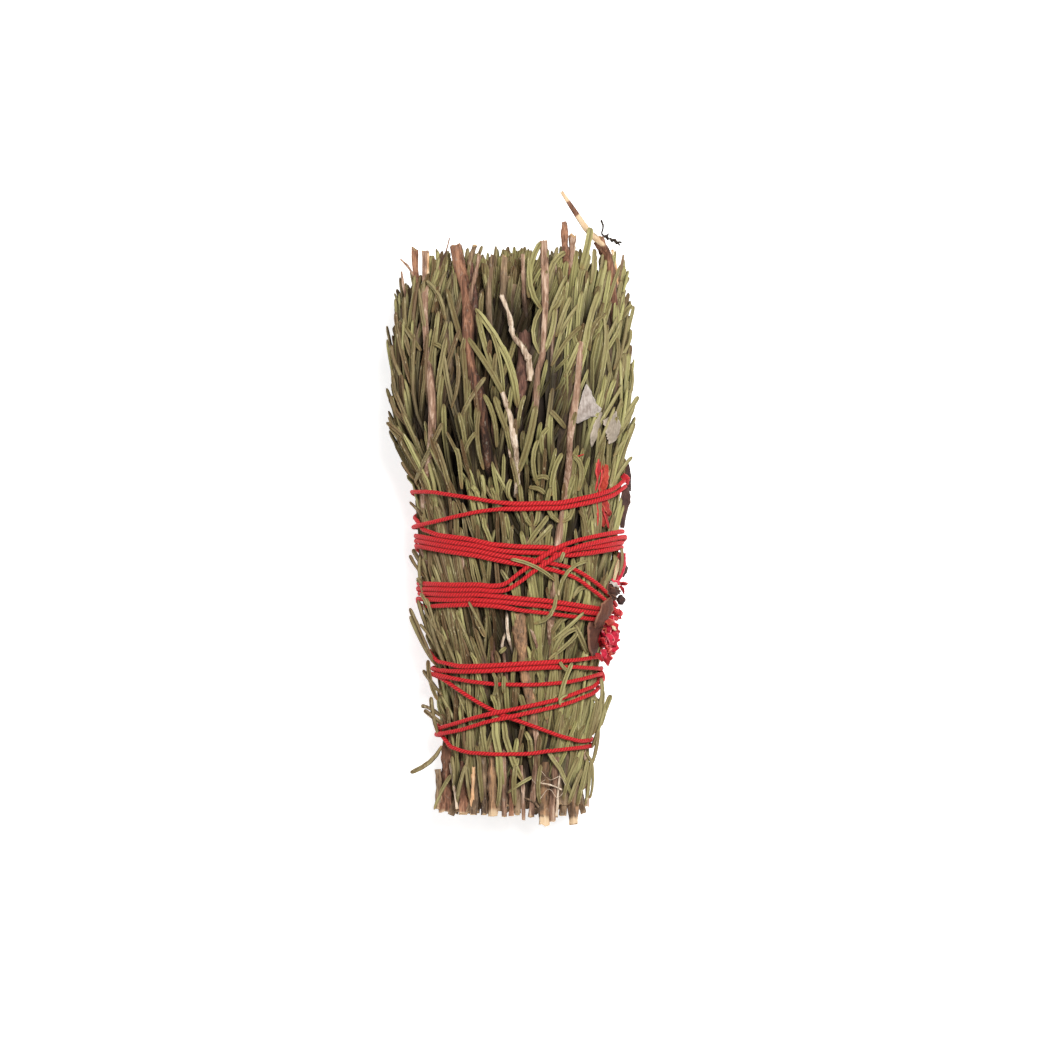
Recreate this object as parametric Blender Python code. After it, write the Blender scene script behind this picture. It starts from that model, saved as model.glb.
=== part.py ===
# A dried rosemary smudge stick: leafy sprigs and bare stems cut to one length, wound
# criss-cross with red cotton thread, with a dried red flower held at one side.
# Lengths are in millimetres here and become metres when a mesh is made.
# The bundle lies along Y on Z = 0, its leafy end at +Y and its cut stems at -Y.

import math
import random

import bmesh
import bpy
import numpy as np
from mathutils import Vector
from mathutils.kdtree import KDTree

METRE = 0.001

# Form of the bundle: place along it, side shift of its middle, half of its width
BODY_FORM = (
    (-75.0, 0.7, 18.4),
    (-60.0, 1.0, 18.4),
    (-50.0, 1.1, 19.3),
    (-36.0, 1.2, 21.0),
    (-21.0, 1.6, 24.4),
    (-9.0, 1.7, 25.2),
    (5.0, 1.7, 25.9),
    (14.0, 0.4, 28.0),
    (24.0, 0.1, 29.7),
    (39.0, -0.1, 28.9),
    (63.0, 0.5, 27.0),
)
THICKNESS_RATIO = 0.8
WOUND_FROM = -62.0
WOUND_TO = 9.0

# Sprigs stand in two rings round one in the middle
OUTER_SPRIGS = 12
MIDDLE_SPRIGS = 6
OUTER_CORE_INSET = 4.2
OUTER_CORE_INNER = 0.55
MIDDLE_CORE = (0.24, 0.50)
CORE_FILL = 0.76
WAVE_ANGLE = 0.09
WAVE_LENGTH = 19.0
LEAN_ANGLE = -0.0018
STEM_RADIUS = 1.35
SPRIG_TOP = 45.0
LEAF_BOTTOM = -66.0
SPRIG_BUTT = -71.5

NEEDLE_WIDTH = 1.45
NEEDLE_DEPTH = 0.85
NEEDLE_LENGTH = (17.0, 24.0)
NEEDLE_COLUMNS = 5
NEEDLE_GAP = 0.32
NEEDLE_ROOT_SPREAD = 0.62
NEEDLE_ROOT_SUNK = 1.1
NEEDLE_TIP_SPREAD = (0.8, 0.9)
NEEDLE_TIP_SUNK = (-0.7, 1.0)
NEEDLE_WOUND_SUNK = (0.8, 2.0)
NEEDLE_SIZES = (0.62, 0.74, 0.1)

# A leaf that touches something is tried again lower and nearer its sprig's middle
FIT_TRIES = 10
FIT_LOWER = 0.4
FIT_CLOSER = 0.06
FIT_STEP = 4.0

# Leaves at the tips of the inner sprigs
TIP_LEAVES = 8
TIP_LEAF_REACH = (0.25, 0.47)
TIP_LEAF_SPREAD = 0.68
TIP_LEAF_LENGTH = (13.0, 19.0)
TIP_LEAF_ROWS = 17.0
CENTRE_SIZES = (STEM_RADIUS, STEM_RADIUS, 2.7, 3.0, 2.2, 0.5)
CENTRE_LEAF_REACH = (0.02, 0.10, 0.16)
CENTRE_LEAF_ROWS = 14.0

# Thread: one length of twisted cotton, wound round and round
THREAD_DIAMETER = 0.86
THREAD_CLEAR = 1.0
THREAD_INSET = 0.5
THREAD_RISE_BELOW = 1.15
THREAD_SIDES = 5
STATIONS_PER_TURN = 16

# Front passes of the thread, left to right, in pixels of the photograph
PIXEL = 0.24
PIXEL_MIDDLE = (512.0, 511.0)
THREAD_PASSES = {
    "top_upper": ((412, 492), (431, 492), (454, 495.5), (477, 499), (500, 503), (520, 504),
                  (560, 503), (575, 500), (598, 495), (614, 489), (627, 478)),
    "top_lower": ((413, 528), (427, 524), (454, 517), (477, 512), (500, 509), (520, 509),
                  (560, 508), (575, 505.5), (598, 500.5), (614, 495), (627, 485)),
    "middle_first": ((411, 513), (418, 522), (423, 529), (438, 535), (469, 539), (492, 544),
                     (520, 546.5), (546, 547), (569, 549.5), (600, 546), (621, 542.5)),
    "middle_second": ((416, 536), (446, 541), (477, 545.5), (500, 550.5), (520, 552),
                      (546, 553), (569, 555), (592, 552.5), (621, 547.5)),
    "middle_falling": ((418, 541), (446, 546), (477, 550.5), (500, 555.5), (520, 558),
                       (547, 562), (569, 567), (584, 574), (600, 586), (611, 597), (617, 607)),
    "middle_falling_low": ((417, 546), (446, 551), (477, 555.5), (500, 560.5), (520, 564),
                           (545, 568), (566, 573), (581, 581), (596, 593), (607, 604),
                           (613, 614)),
    "rising_upper": ((419, 583.5), (454, 584.5), (477, 584), (500, 586), (508, 582),
                     (523, 569.5), (538, 559), (554, 548), (575, 540), (600, 535), (621, 531.5)),
    "rising_lower": ((420, 588.5), (454, 589.5), (477, 589), (500, 591), (512, 588),
                     (527, 575.5), (542, 564.5), (558, 554), (577, 546), (600, 541), (621, 537)),
    "lower_first": ((420, 593.5), (454, 594.5), (477, 594), (500, 596), (520, 598), (545, 600),
                    (570, 603.5), (600, 608.5), (617, 613)),
    "lower_second": ((419, 599), (446, 599.5), (470, 599), (500, 601), (520, 603), (545, 605.5),
                     (570, 609), (600, 614), (617, 620)),
    "lower_third": ((419, 607), (446, 605), (469, 604), (488, 604.5), (507, 607), (523, 610),
                    (546, 612.5), (569, 615.5), (590, 618.5), (614, 620)),
    "waist_first": ((424, 646), (429, 652), (437, 661), (460, 666), (488, 665), (520, 663),
                    (551, 661.5), (576, 659.5), (604, 656)),
    "waist_second": ((429, 668), (438, 670.5), (461, 671), (492, 670), (520, 668), (551, 666.5),
                     (576, 666.5), (604, 669)),
    "waist_third": ((430, 673), (447, 676.5), (471, 681), (496, 683.5), (530, 684), (543, 683.5),
                    (568, 681.5), (585, 678), (604, 673.5)),
    "thin_falling": ((431, 674), (442, 678), (455, 687), (472, 698), (492, 709.5), (510, 717),
                     (535, 726), (560, 735.5), (580, 741), (598, 740)),
    "butt_rising": ((435, 731), (447, 726), (472, 718), (496, 712), (530, 705), (555, 699.5),
                    (568, 695.5), (593, 686.5), (602, 678)),
    "butt_rising_low": ((436, 736), (463, 729), (488, 721), (510, 716), (530, 711.5),
                        (555, 706), (570, 702), (594, 693), (602, 685)),
    "butt_last": ((435, 724.5), (441, 735), (451, 747), (467, 752), (496, 753.5), (530, 753),
                  (543, 751), (568, 748.5), (598, 746)),
}
WINDING_ORDER = (
    "top_upper", "middle_first", "middle_second", "middle_falling", "lower_first",
    "lower_third", "waist_first", "waist_second", "thin_falling", "butt_last",
    "butt_rising_low", "waist_third", "butt_rising", "lower_second", "middle_falling_low",
    "rising_lower", "rising_upper", "top_lower",
)
TAIL_STATIONS = 4

# Bare stems on the front: route in photo pixels, then radius at each end, then how far
# each end sinks below the bundle's outer surface beyond its usual lie
BARE_STEMS = {
    "stem_red_brown": (((457, 250), (461, 272), (466, 295), (471, 365), (481, 398), (486, 440),
                        (491, 476)), 1.25, 0.95, 0.0, 1.2),
    "stem_split_left": (((426, 254), (426, 314), (428, 352), (433, 395), (432, 440), (426, 483),
                         (425, 512), (427, 532)), 0.7, 0.65, 0.0, 0.0),
    "stem_pink_fork": (((543, 245), (545, 300), (543, 352), (538, 372), (534, 415), (524, 452)),
                       0.85, 0.7, 0.0, 1.4),
    "stem_dark_red": (((521, 348), (521.5, 372), (520, 396), (517, 430)), 1.4, 1.0, 2.8, 2.4),
    "stem_pale_gnarled": (((502, 299), (509, 318), (513, 338), (521, 346), (527, 358),
                           (530, 372), (529.5, 380)), 0.5, 0.7, 0.0, 0.0),
    "stem_pale_twig": (((504, 400), (508, 411), (513.5, 433), (516, 457), (517, 480),
                        (517.5, 494)), 0.8, 0.75, 0.0, 0.2),
    "stem_jointed": (((580, 345), (576, 393), (570, 433), (569, 464), (564, 500), (561, 519),
                      (557, 545), (555, 579), (551, 612), (550, 645)), 0.85, 0.8, 0.0, 0.0),
    "stem_thick_low": (((518, 612), (521, 640), (526, 677), (531, 700), (533, 732)),
                       1.25, 1.1, 0.0, 0.0),
    "stem_left_low": (((424, 548), (428, 560), (430, 580)), 0.9, 0.8, 0.0, 0.4),
    "stem_broken_top": (((564, 226), (565, 254), (566, 284)), 0.95, 1.0, 2.4, 3.6),
    "stem_stripped": (((563, 197), (573, 212), (587, 232), (598, 243), (606, 252), (611, 280),
                       (613, 312)), 0.45, 1.25, 4.0, 0.6),
}
STEM_COLOURS = {
    "stem_dark_red": "bark_dark",
    "stem_pale_gnarled": "bark_pale",
    "stem_pale_twig": "bark_pale",
}
STEM_SIDES = 6
TOP_REACH = 62.0

# Half stems under the bundle, flat below: side place, and the ends that touch the surface
RUNNER_PLACES = (-5.0, 5.0)
RUNNER_WIDTH = 2.6
RUNNER_DEPTH = 1.15
RUNNER_ENDS = (-71.0, 52.0)
RUNNER_LIFT = 3.4
RUNNER_RAMP = 7.0
RUNNER_PROFILE = ((-1.0, 0.0), (1.0, 0.0), (0.85, 0.6), (0.25, 1.0), (-0.4, 0.95), (-0.9, 0.5))

# How far leaves stay from the middle lines of the half stems, the sheets and the bloom
RUNNER_CLEAR = 1.45
SHEET_CLEAR = 0.6
BLOOM_CLEAR = 2.6

COLOURS = {
    "leaf_green": (0.30, 0.29, 0.13),
    "leaf_brown": (0.24, 0.17, 0.09),
    "bark": (0.25, 0.14, 0.09),
    "bark_dark": (0.14, 0.06, 0.04),
    "bark_pale": (0.55, 0.45, 0.36),
    "cotton_red": (0.72, 0.02, 0.03),
    "petal_red": (0.55, 0.02, 0.02),
    "petal_dark": (0.10, 0.03, 0.03),
    "husk_brown": (0.22, 0.12, 0.07),
    "paper_leaf": (0.50, 0.45, 0.42),
}


def clear_scene():
    for item in list(bpy.data.objects):
        bpy.data.objects.remove(item)


def material(name, roughness=0.75):
    found = bpy.data.materials.get(name)
    if found:
        return found
    made = bpy.data.materials.new(name)
    made.use_nodes = True
    shader = made.node_tree.nodes["Principled BSDF"]
    shader.inputs["Base Color"].default_value = (*COLOURS[name], 1.0)
    shader.inputs["Roughness"].default_value = roughness
    shader.inputs["Metallic"].default_value = 0.0
    return made


def mesh_object(name, shape):
    """An object from (points in millimetres, faces)."""
    points, faces = shape
    mesh = bpy.data.meshes.new(name)
    mesh.from_pydata([tuple(c * METRE for c in p) for p in points], [], faces)
    mesh.update()
    made = bpy.data.objects.new(name, mesh)
    bpy.context.scene.collection.objects.link(made)
    return made


def finish(name, shape, colour, smooth=35.0):
    made = mesh_object(name, shape)
    made.data.materials.append(material(colour))
    made.data.shade_smooth()
    made.data.set_sharp_from_angle(angle=math.radians(smooth))
    return made


def union(name, shapes, colour):
    """Closed shapes of one sprig or bloom joined into one closed body."""
    made = mesh_object(name, shapes[0])
    group = bpy.data.collections.new(name + "_parts")
    bpy.context.scene.collection.children.link(group)
    for shape in shapes[1:]:
        part = mesh_object(name + "_part", shape)
        bpy.context.scene.collection.objects.unlink(part)
        group.objects.link(part)
    joiner = made.modifiers.new("join", "BOOLEAN")
    joiner.operation = "UNION"
    joiner.operand_type = "COLLECTION"
    joiner.collection = group
    joiner.solver = "EXACT"
    bpy.context.view_layer.update()
    seen = made.evaluated_get(bpy.context.evaluated_depsgraph_get())
    joined = bpy.data.meshes.new_from_object(seen)
    made.modifiers.clear()
    made.data = joined
    for part in list(group.objects):
        bpy.data.objects.remove(part)
    bpy.data.collections.remove(group)
    drop_scraps(joined)
    joined.materials.clear()
    joined.materials.append(material(colour))
    return made


def drop_scraps(mesh):
    """Keeps the largest body of a mesh; a leaf that grows from nothing goes."""
    shape = bmesh.new()
    shape.from_mesh(mesh)
    left = set(shape.verts)
    bodies = []
    while left:
        body, edge = set(), [left.pop()]
        while edge:
            here = edge.pop()
            body.add(here)
            for link in here.link_edges:
                there = link.other_vert(here)
                if there in left:
                    left.remove(there)
                    edge.append(there)
        bodies.append(body)
    largest = max(bodies, key=len)
    scraps = [v for body in bodies if body is not largest for v in body]
    bmesh.ops.delete(shape, geom=scraps, context="VERTS")
    shape.to_mesh(mesh)
    shape.free()


def form_at(y):
    """Side shift, half width and half thickness of the bundle at y."""
    rows = np.array(BODY_FORM)
    near = [y + d for d in (-4.0, -2.0, 0.0, 2.0, 4.0)]
    shift = float(np.mean(np.interp(near, rows[:, 0], rows[:, 1])))
    half = float(np.mean(np.interp(near, rows[:, 0], rows[:, 2])))
    return shift, half, half * THICKNESS_RATIO


def place(angle, reach, y):
    """A point at an angle round the bundle, reach 1 being its outer surface."""
    shift, half, thick = form_at(y)
    return Vector((
        shift + half * reach * math.cos(angle),
        y,
        thick + thick * reach * math.sin(angle),
    ))


def place_inset(angle, inset, y):
    """A point so many millimetres below the bundle's outer surface."""
    shift, half, thick = form_at(y)
    return Vector((
        shift + (half - inset) * math.cos(angle),
        y,
        thick + (thick - inset) * math.sin(angle),
    ))


def from_photo(pixel):
    """Side and lengthwise place of a point in the photograph."""
    return (pixel[0] - PIXEL_MIDDLE[0]) * PIXEL, (PIXEL_MIDDLE[1] - pixel[1]) * PIXEL


def front_angle(x, y, inset):
    shift, half, _ = form_at(y)
    return math.acos(max(-0.985, min(0.985, (x - shift) / (half - inset))))


def front_point(pixel, inset):
    """The point of the front surface, sunk by inset, that the photograph shows there."""
    x, y = from_photo(pixel)
    point = place_inset(front_angle(x, min(y, TOP_REACH), inset), inset, min(y, TOP_REACH))
    return Vector((x if y > TOP_REACH else point.x, y, point.z))


def smoothstep(t):
    t = max(0.0, min(1.0, t))
    return t * t * (3.0 - 2.0 * t)


def wound(y):
    """1 where thread goes round the bundle, 0 at its free ends."""
    return smoothstep((y - WOUND_FROM + 5.0) / 5.0) * smoothstep((WOUND_TO + 5.0 - y) / 5.0)


def curve_through(points, count):
    """Evenly spaced points of a smooth curve through the given ones."""
    points = [Vector(p) for p in points]
    padded = [2 * points[0] - points[1]] + points + [2 * points[-1] - points[-2]]
    dense = []
    for k in range(1, len(padded) - 2):
        a, b, c, d = padded[k - 1:k + 3]
        for step in range(12):
            t = step / 12
            dense.append(0.5 * (2 * b + (c - a) * t + (2 * a - 5 * b + 4 * c - d) * t * t
                                + (3 * b - a - 3 * c + d) * t * t * t))
    dense.append(points[-1])
    lengths = [0.0]
    for k in range(1, len(dense)):
        lengths.append(lengths[-1] + (dense[k] - dense[k - 1]).length)
    spots = np.linspace(0.0, lengths[-1], count)
    return [Vector([float(np.interp(s, lengths, [p[i] for p in dense])) for i in range(3)])
            for s in spots]


def tube(points, radii, sides):
    """A closed tube along points."""
    verts = []
    normal = Vector((0.0, 0.0, 1.0))
    for k, point in enumerate(points):
        ahead = points[min(k + 1, len(points) - 1)] - points[max(k - 1, 0)]
        ahead.normalize()
        normal = (normal - ahead * normal.dot(ahead)).normalized()
        across = ahead.cross(normal)
        for s in range(sides):
            turn = 2 * math.pi * (s + 0.5) / sides
            verts.append(point + (across * math.cos(turn) + normal * math.sin(turn)) * radii[k])
    faces = []
    for k in range(len(points) - 1):
        for s in range(sides):
            e = (s + 1) % sides
            a, b = k * sides, (k + 1) * sides
            faces.append((a + s, a + e, b + e, b + s))
    last = (len(points) - 1) * sides
    faces.append(tuple(range(sides))[::-1])
    faces.append(tuple(last + s for s in range(sides)))
    return verts, [f[::-1] for f in faces]


def ribbon(spine, sides, halves, outs, thickness, cup=0.0, cuts=4):
    """A closed thin sheet: spine points, sideways vectors, half widths and outward vectors.

    cup raises the middle of the sheet above its edges.
    """
    upper, lower = [], []
    for point, side, half, out in zip(spine, sides, halves, outs):
        for c in range(cuts + 1):
            u = 2.0 * c / cuts - 1.0
            raised = out * (cup * half * (1.0 - u * u))
            middle = point + side * (u * half) + raised
            upper.append(middle + out * (thickness / 2))
            lower.append(middle - out * (thickness / 2))
    verts = upper + lower
    wide = cuts + 1
    rows = len(spine)
    base = len(upper)
    faces = []
    for r in range(rows - 1):
        for c in range(cuts):
            a, b = r * wide + c, r * wide + c + 1
            d, e = a + wide, b + wide
            faces += [(a, b, e), (a, e, d)]
            faces += [(base + a, base + e, base + b), (base + a, base + d, base + e)]
    edge = list(range(wide))
    edge += [r * wide + cuts for r in range(1, rows)]
    edge += [(rows - 1) * wide + c for c in range(cuts - 1, -1, -1)]
    edge += [r * wide for r in range(rows - 2, 0, -1)]
    for k, here in enumerate(edge):
        there = edge[(k + 1) % len(edge)]
        faces += [(here, base + here, base + there), (here, base + there, there)]
    return facing_out(verts, faces)


def facing_out(verts, faces):
    """The same closed shape with its faces pointing out."""
    volume = 0.0
    for face in faces:
        for k in range(1, len(face) - 1):
            a, b, c = verts[face[0]], verts[face[k]], verts[face[k + 1]]
            volume += a.dot(b.cross(c))
    if volume < 0:
        faces = [f[::-1] for f in faces]
    return verts, faces


class Keepouts:
    """Spheres along the thread, bare stems and flower that needles stay clear of."""

    def __init__(self):
        self.spots = []
        self.tree = None
        self.largest = 0.0

    def along(self, points, radius):
        for a, b in zip(points, points[1:]):
            count = max(1, math.ceil((b - a).length / 0.7))
            for k in range(count + 1):
                self.spots.append((a.lerp(b, k / count), radius))
        self.largest = max(self.largest, radius)

    def close(self):
        self.tree = KDTree(len(self.spots))
        for k, (point, _) in enumerate(self.spots):
            self.tree.insert(point, k)
        self.tree.balance()

    def free(self, point, radius):
        near = self.tree.find_range(point, radius + self.largest + NEEDLE_GAP)
        for _, index, distance in near:
            if distance < radius + self.spots[index][1] + NEEDLE_GAP:
                return False
        return True


# Thread

def pass_place(name, angle):
    """Lengthwise place of a front pass at an angle round the bundle."""
    route = [from_photo(p) for p in THREAD_PASSES[name]]
    xs = [p[0] for p in route]
    ys = [p[1] for p in route]
    y = ys[len(ys) // 2]
    for _ in range(4):
        shift, half, _ = form_at(y)
        y = float(np.interp(shift + (half - THREAD_INSET) * math.cos(angle), xs, ys))
    return y


def thread_places():
    """Angle and lengthwise place of every station of the thread."""
    half_turn = STATIONS_PER_TURN // 2
    step = math.pi / half_turn
    places = []
    start = pass_place(WINDING_ORDER[0], math.pi)
    for k in range(TAIL_STATIONS, 0, -1):
        places.append((math.pi + k * step, start - 1.2 * k))
    for turn, name in enumerate(WINDING_ORDER):
        top = math.pi - turn * 2 * math.pi
        for m in range(half_turn + 1):
            places.append((top - m * step, pass_place(name, math.pi - m * step)))
        leave = places[-1][1]
        if turn + 1 < len(WINDING_ORDER):
            arrive = pass_place(WINDING_ORDER[turn + 1], math.pi)
            for m in range(1, half_turn):
                places.append((top - math.pi - m * step,
                               leave + (arrive - leave) * m / half_turn))
        else:
            for m in range(1, TAIL_STATIONS + 1):
                places.append((top - math.pi - m * step, leave - 1.4 * m))
    return places


def thread_lifts(places):
    """How far each station rides up on the passes wound before it."""
    lifts = [0.0] * len(places)
    for late in range(len(places) - 1):
        for early in range(late - STATIONS_PER_TURN, -1, -STATIONS_PER_TURN):
            before = places[early][1] - places[late][1]
            after = places[early + 1][1] - places[late + 1][1]
            if before * after <= 0:
                apart = 0.0
            else:
                run = form_at(places[late][1])[1] * 2 * math.pi / STATIONS_PER_TURN * 0.9
                slope = abs(places[late][1] - places[late + 1][1]) / run
                apart = min(abs(before), abs(after)) / math.hypot(1.0, slope)
            if apart < THREAD_CLEAR:
                climb = math.sqrt(THREAD_CLEAR ** 2 - apart ** 2)
                lifts[late] = max(lifts[late], lifts[early] + climb)
                lifts[late + 1] = max(lifts[late + 1], lifts[early + 1] + climb)
    return lifts


def thread_route():
    points = []
    places = thread_places()
    for (angle, y), lift in zip(places, thread_lifts(places)):
        below = smoothstep((-math.sin(angle) - 0.55) / 0.4)
        points.append(place_inset(angle, THREAD_INSET + THREAD_RISE_BELOW * below - lift, y))
    return points


# Sprigs

def ring_wave(y):
    return WAVE_ANGLE * math.sin(y / WAVE_LENGTH + 0.6) + LEAN_ANGLE * y


def outer_core_reach(y):
    """Inner and outer reach of an outer sprig's core."""
    return OUTER_CORE_INNER, 1.0 - OUTER_CORE_INSET / form_at(y)[2]


def core_girth(y, leaf_bottom, top):
    """1 where a sprig's core is full, less towards its tip and its bare stem."""
    return float(np.interp(y, (leaf_bottom, leaf_bottom + 8.0, 6.0, 26.0, top - 6.0, top),
                           (0.0, 1.0, 1.0, 0.72, 0.3, 0.1)))


def sprig_core(middle, half_angle, reach, butt, leaf_bottom, top, stem_radius):
    """The slim body of a sprig: bare stem at the butt, shoot at the tip."""
    stations = [butt, leaf_bottom]
    stations += list(np.linspace(leaf_bottom + 8.0, top - 6.0, 6)) + [top]
    verts = []
    for y in stations:
        inner, outer = reach(y)
        thick = form_at(y)[2]
        girth = core_girth(y, leaf_bottom, top)
        centre = (inner + outer) / 2
        wide = max(half_angle * girth * CORE_FILL, 0.0)
        deep = (outer - inner) / 2 * girth
        bare = stem_radius * (1.0 if y < leaf_bottom + 1 else 0.45) / thick
        for s in range(STEM_SIDES):
            turn = 2 * math.pi * (s + 0.5) / STEM_SIDES
            across = max(wide, bare / max(centre, 0.12)) * math.cos(turn)
            out = max(deep, bare) * math.sin(turn)
            verts.append(place(middle(y) + across, centre + out, y))
    faces = []
    for k in range(len(stations) - 1):
        for s in range(STEM_SIDES):
            e = (s + 1) % STEM_SIDES
            a, b = k * STEM_SIDES, (k + 1) * STEM_SIDES
            faces.append((a + s, a + e, b + e))
            faces.append((a + s, b + e, b + s))
    last = (len(stations) - 1) * STEM_SIDES
    faces.append(tuple(range(STEM_SIDES))[::-1])
    faces.append(tuple(last + s for s in range(STEM_SIDES)))
    return facing_out(verts, faces)


def needle(root, bend, tip, out):
    """A three-sided leaf: wide and ridged in the middle, pointed at the tip."""
    verts = []
    ahead = (tip - root).normalized()
    across = ahead.cross(out).normalized()
    lift = across.cross(ahead).normalized()
    for point, size in ((root, 0.8), (bend, 1.0)):
        verts.append(point - across * (NEEDLE_WIDTH / 2 * size) - lift * (NEEDLE_DEPTH * 0.35))
        verts.append(point + across * (NEEDLE_WIDTH / 2 * size) - lift * (NEEDLE_DEPTH * 0.35))
        verts.append(point + lift * (NEEDLE_DEPTH * 0.65 * size))
    verts.append(tip)
    faces = [(0, 2, 1), (3, 4, 6), (4, 5, 6), (5, 3, 6)]
    for s in range(3):
        e = (s + 1) % 3
        faces += [(s, e, e + 3), (s, e + 3, s + 3)]
    return facing_out(verts, faces)


def needle_fits(points, sizes, keepouts, cell):
    """True when a leaf stays in its sprig's share of the bundle and off what is there."""
    for k in range(len(points) - 1):
        for part in range(7):
            t = part / 6
            point = points[k].lerp(points[k + 1], t)
            size = sizes[k] + (sizes[k + 1] - sizes[k]) * t
            if point.z - size < 0.1 or not cell(point, size):
                return False
            if k + t > 0.1 and not keepouts.free(point, size):
                return False
    return True


def outer_cell(middle, half_angle):
    def inside(point, size):
        shift, half, thick = form_at(point.y)
        across = (point.x - shift) / half
        up = (point.z - thick) / thick
        reach = math.hypot(across, up)
        if reach < OUTER_CORE_INNER - 0.02:
            return False
        turn = math.atan2(up, across) - middle(point.y)
        turn = abs((turn + math.pi) % (2 * math.pi) - math.pi)
        return turn + (size + 0.16) / (reach * thick) < half_angle
    return inside


def outer_needle(draw, middle, half_angle, y, column, length, keepouts):
    """One leaf of an outer sprig, pressed lower until it clears the thread."""
    cell = outer_cell(middle, half_angle)
    _, outer = outer_core_reach(y)
    thick = form_at(y)[2]
    girth = core_girth(y, LEAF_BOTTOM, SPRIG_TOP)
    centre = (OUTER_CORE_INNER + outer) / 2
    slope = math.sqrt(max(0.0, 1.0 - (NEEDLE_ROOT_SPREAD * column) ** 2))
    core_top = centre + (outer - centre) * girth * slope
    tip_y = y + length
    wish = draw.uniform(*NEEDLE_TIP_SUNK)
    wish += wound(y + length / 2) * draw.uniform(*NEEDLE_WOUND_SUNK)
    root_angle = middle(y) + column * NEEDLE_ROOT_SPREAD * half_angle * CORE_FILL * girth
    root = place(root_angle, core_top - NEEDLE_ROOT_SUNK / thick * max(girth, 0.4), y)
    spread = half_angle * draw.uniform(*NEEDLE_TIP_SPREAD) * column
    for attempt in range(FIT_TRIES):
        press = wish + FIT_LOWER * attempt
        tip_reach = 1.0 - press / form_at(tip_y)[2]
        tip_angle = middle(tip_y) + spread * (1.0 - FIT_CLOSER * attempt)
        tip = place(tip_angle, tip_reach, tip_y)
        bend_y = y + length * 0.5
        bend_reach = (core_top + tip_reach) / 2 + 0.3 / thick
        bend_angle = (root_angle + tip_angle) / 2
        bend = place(bend_angle, bend_reach, bend_y)
        if needle_fits((root, bend, tip), NEEDLE_SIZES, keepouts, cell):
            return needle(root, bend, tip, place(bend_angle, bend_reach + 0.1, bend_y) - bend)
    return None


def outer_sprig(number, keepouts):
    draw = random.Random(100 + number)
    base = 2 * math.pi * number / OUTER_SPRIGS
    half_angle = math.pi / OUTER_SPRIGS

    def middle(y):
        return base + ring_wave(y)

    butt = SPRIG_BUTT - draw.uniform(-1.5, 4.5)
    shapes = [sprig_core(middle, half_angle, outer_core_reach, butt, LEAF_BOTTOM, SPRIG_TOP,
                         STEM_RADIUS * draw.uniform(0.75, 1.1))]
    for column in range(NEEDLE_COLUMNS):
        across = 2.0 * column / (NEEDLE_COLUMNS - 1) - 1.0
        y = LEAF_BOTTOM + 1.5 + NEEDLE_LENGTH[0] * (2 * column % NEEDLE_COLUMNS) / NEEDLE_COLUMNS
        while y < SPRIG_TOP - 1.0:
            length = min(draw.uniform(*NEEDLE_LENGTH), TOP_REACH + 1.5 - y)
            leaf = outer_needle(draw, middle, half_angle, y, across, length, keepouts)
            if leaf:
                shapes.append(leaf)
                y += length * draw.uniform(0.98, 1.06)
            else:
                y += FIT_STEP
    return shapes


def tip_leaves(draw, middle, centre, angle_limit, top):
    """Leaves that stand up round the tip of an inner sprig."""
    leaves = []
    for k in range(TIP_LEAVES):
        turn = 2 * math.pi * (k + draw.uniform(-0.2, 0.2)) / TIP_LEAVES
        y = top - 4.0 - TIP_LEAF_ROWS * (k % 3) / 2 + draw.uniform(-1.0, 1.0)
        thick = form_at(y)[2]
        tip_y = min(y + draw.uniform(*TIP_LEAF_LENGTH), TOP_REACH + 1.0)
        low, high = TIP_LEAF_REACH
        out = max(low, min(high, centre + (high - low) * 0.5 * math.sin(turn)))
        side = angle_limit * math.cos(turn)
        root = place(middle(y), centre, y)
        tip = place(middle(tip_y) + side, out, tip_y)
        bend_y = (y + tip_y) / 2
        bend = place(middle(bend_y) + side * 0.62, centre + (out - centre) * 0.62, bend_y)
        outward = bend - root.lerp(tip, 0.5)
        if outward.length < 0.05:
            outward = Vector((0.0, 0.0, 1.0))
        leaves.append(needle(root, bend, tip, outward + Vector((0.0, 0.0, 0.6 / thick))))
    return leaves


def inner_sprig(number):
    draw = random.Random(300 + number)
    base = 2 * math.pi * (number + 0.5) / MIDDLE_SPRIGS
    half_angle = math.pi / MIDDLE_SPRIGS

    def middle(y):
        return base + ring_wave(y)

    top = SPRIG_TOP + draw.uniform(-3.0, 1.0)
    butt = SPRIG_BUTT - draw.uniform(0.0, 4.0)
    core = sprig_core(middle, half_angle, lambda y: MIDDLE_CORE, butt, LEAF_BOTTOM, top,
                      STEM_RADIUS * draw.uniform(0.8, 1.1))
    centre = sum(MIDDLE_CORE) / 2
    return [core] + tip_leaves(draw, middle, centre, half_angle * TIP_LEAF_SPREAD, top)


def centre_sprig():
    draw = random.Random(400)
    stations = (SPRIG_BUTT - 2.0, LEAF_BOTTOM, LEAF_BOTTOM + 8.0, 0.0, 30.0, SPRIG_TOP)
    line = [place(0.0, 0.0, y) for y in stations]
    core = facing_out(*tube(line, CENTRE_SIZES, STEM_SIDES))
    leaves = []
    for k in range(TIP_LEAVES):
        turn = 2 * math.pi * (k + draw.uniform(-0.2, 0.2)) / TIP_LEAVES
        y = SPRIG_TOP - 3.0 - CENTRE_LEAF_ROWS * (k % 3) / 2
        tip_y = min(y + draw.uniform(*TIP_LEAF_LENGTH), TOP_REACH)
        root, bend, tip = (place(turn, reach, at) for reach, at in
                           zip(CENTRE_LEAF_REACH, (y, (y + tip_y) / 2, tip_y)))
        leaves.append(needle(root, bend, tip, place(turn, 0.2, y) - place(turn, 0.0, y)))
    return [core] + leaves


# Bare stems

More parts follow.
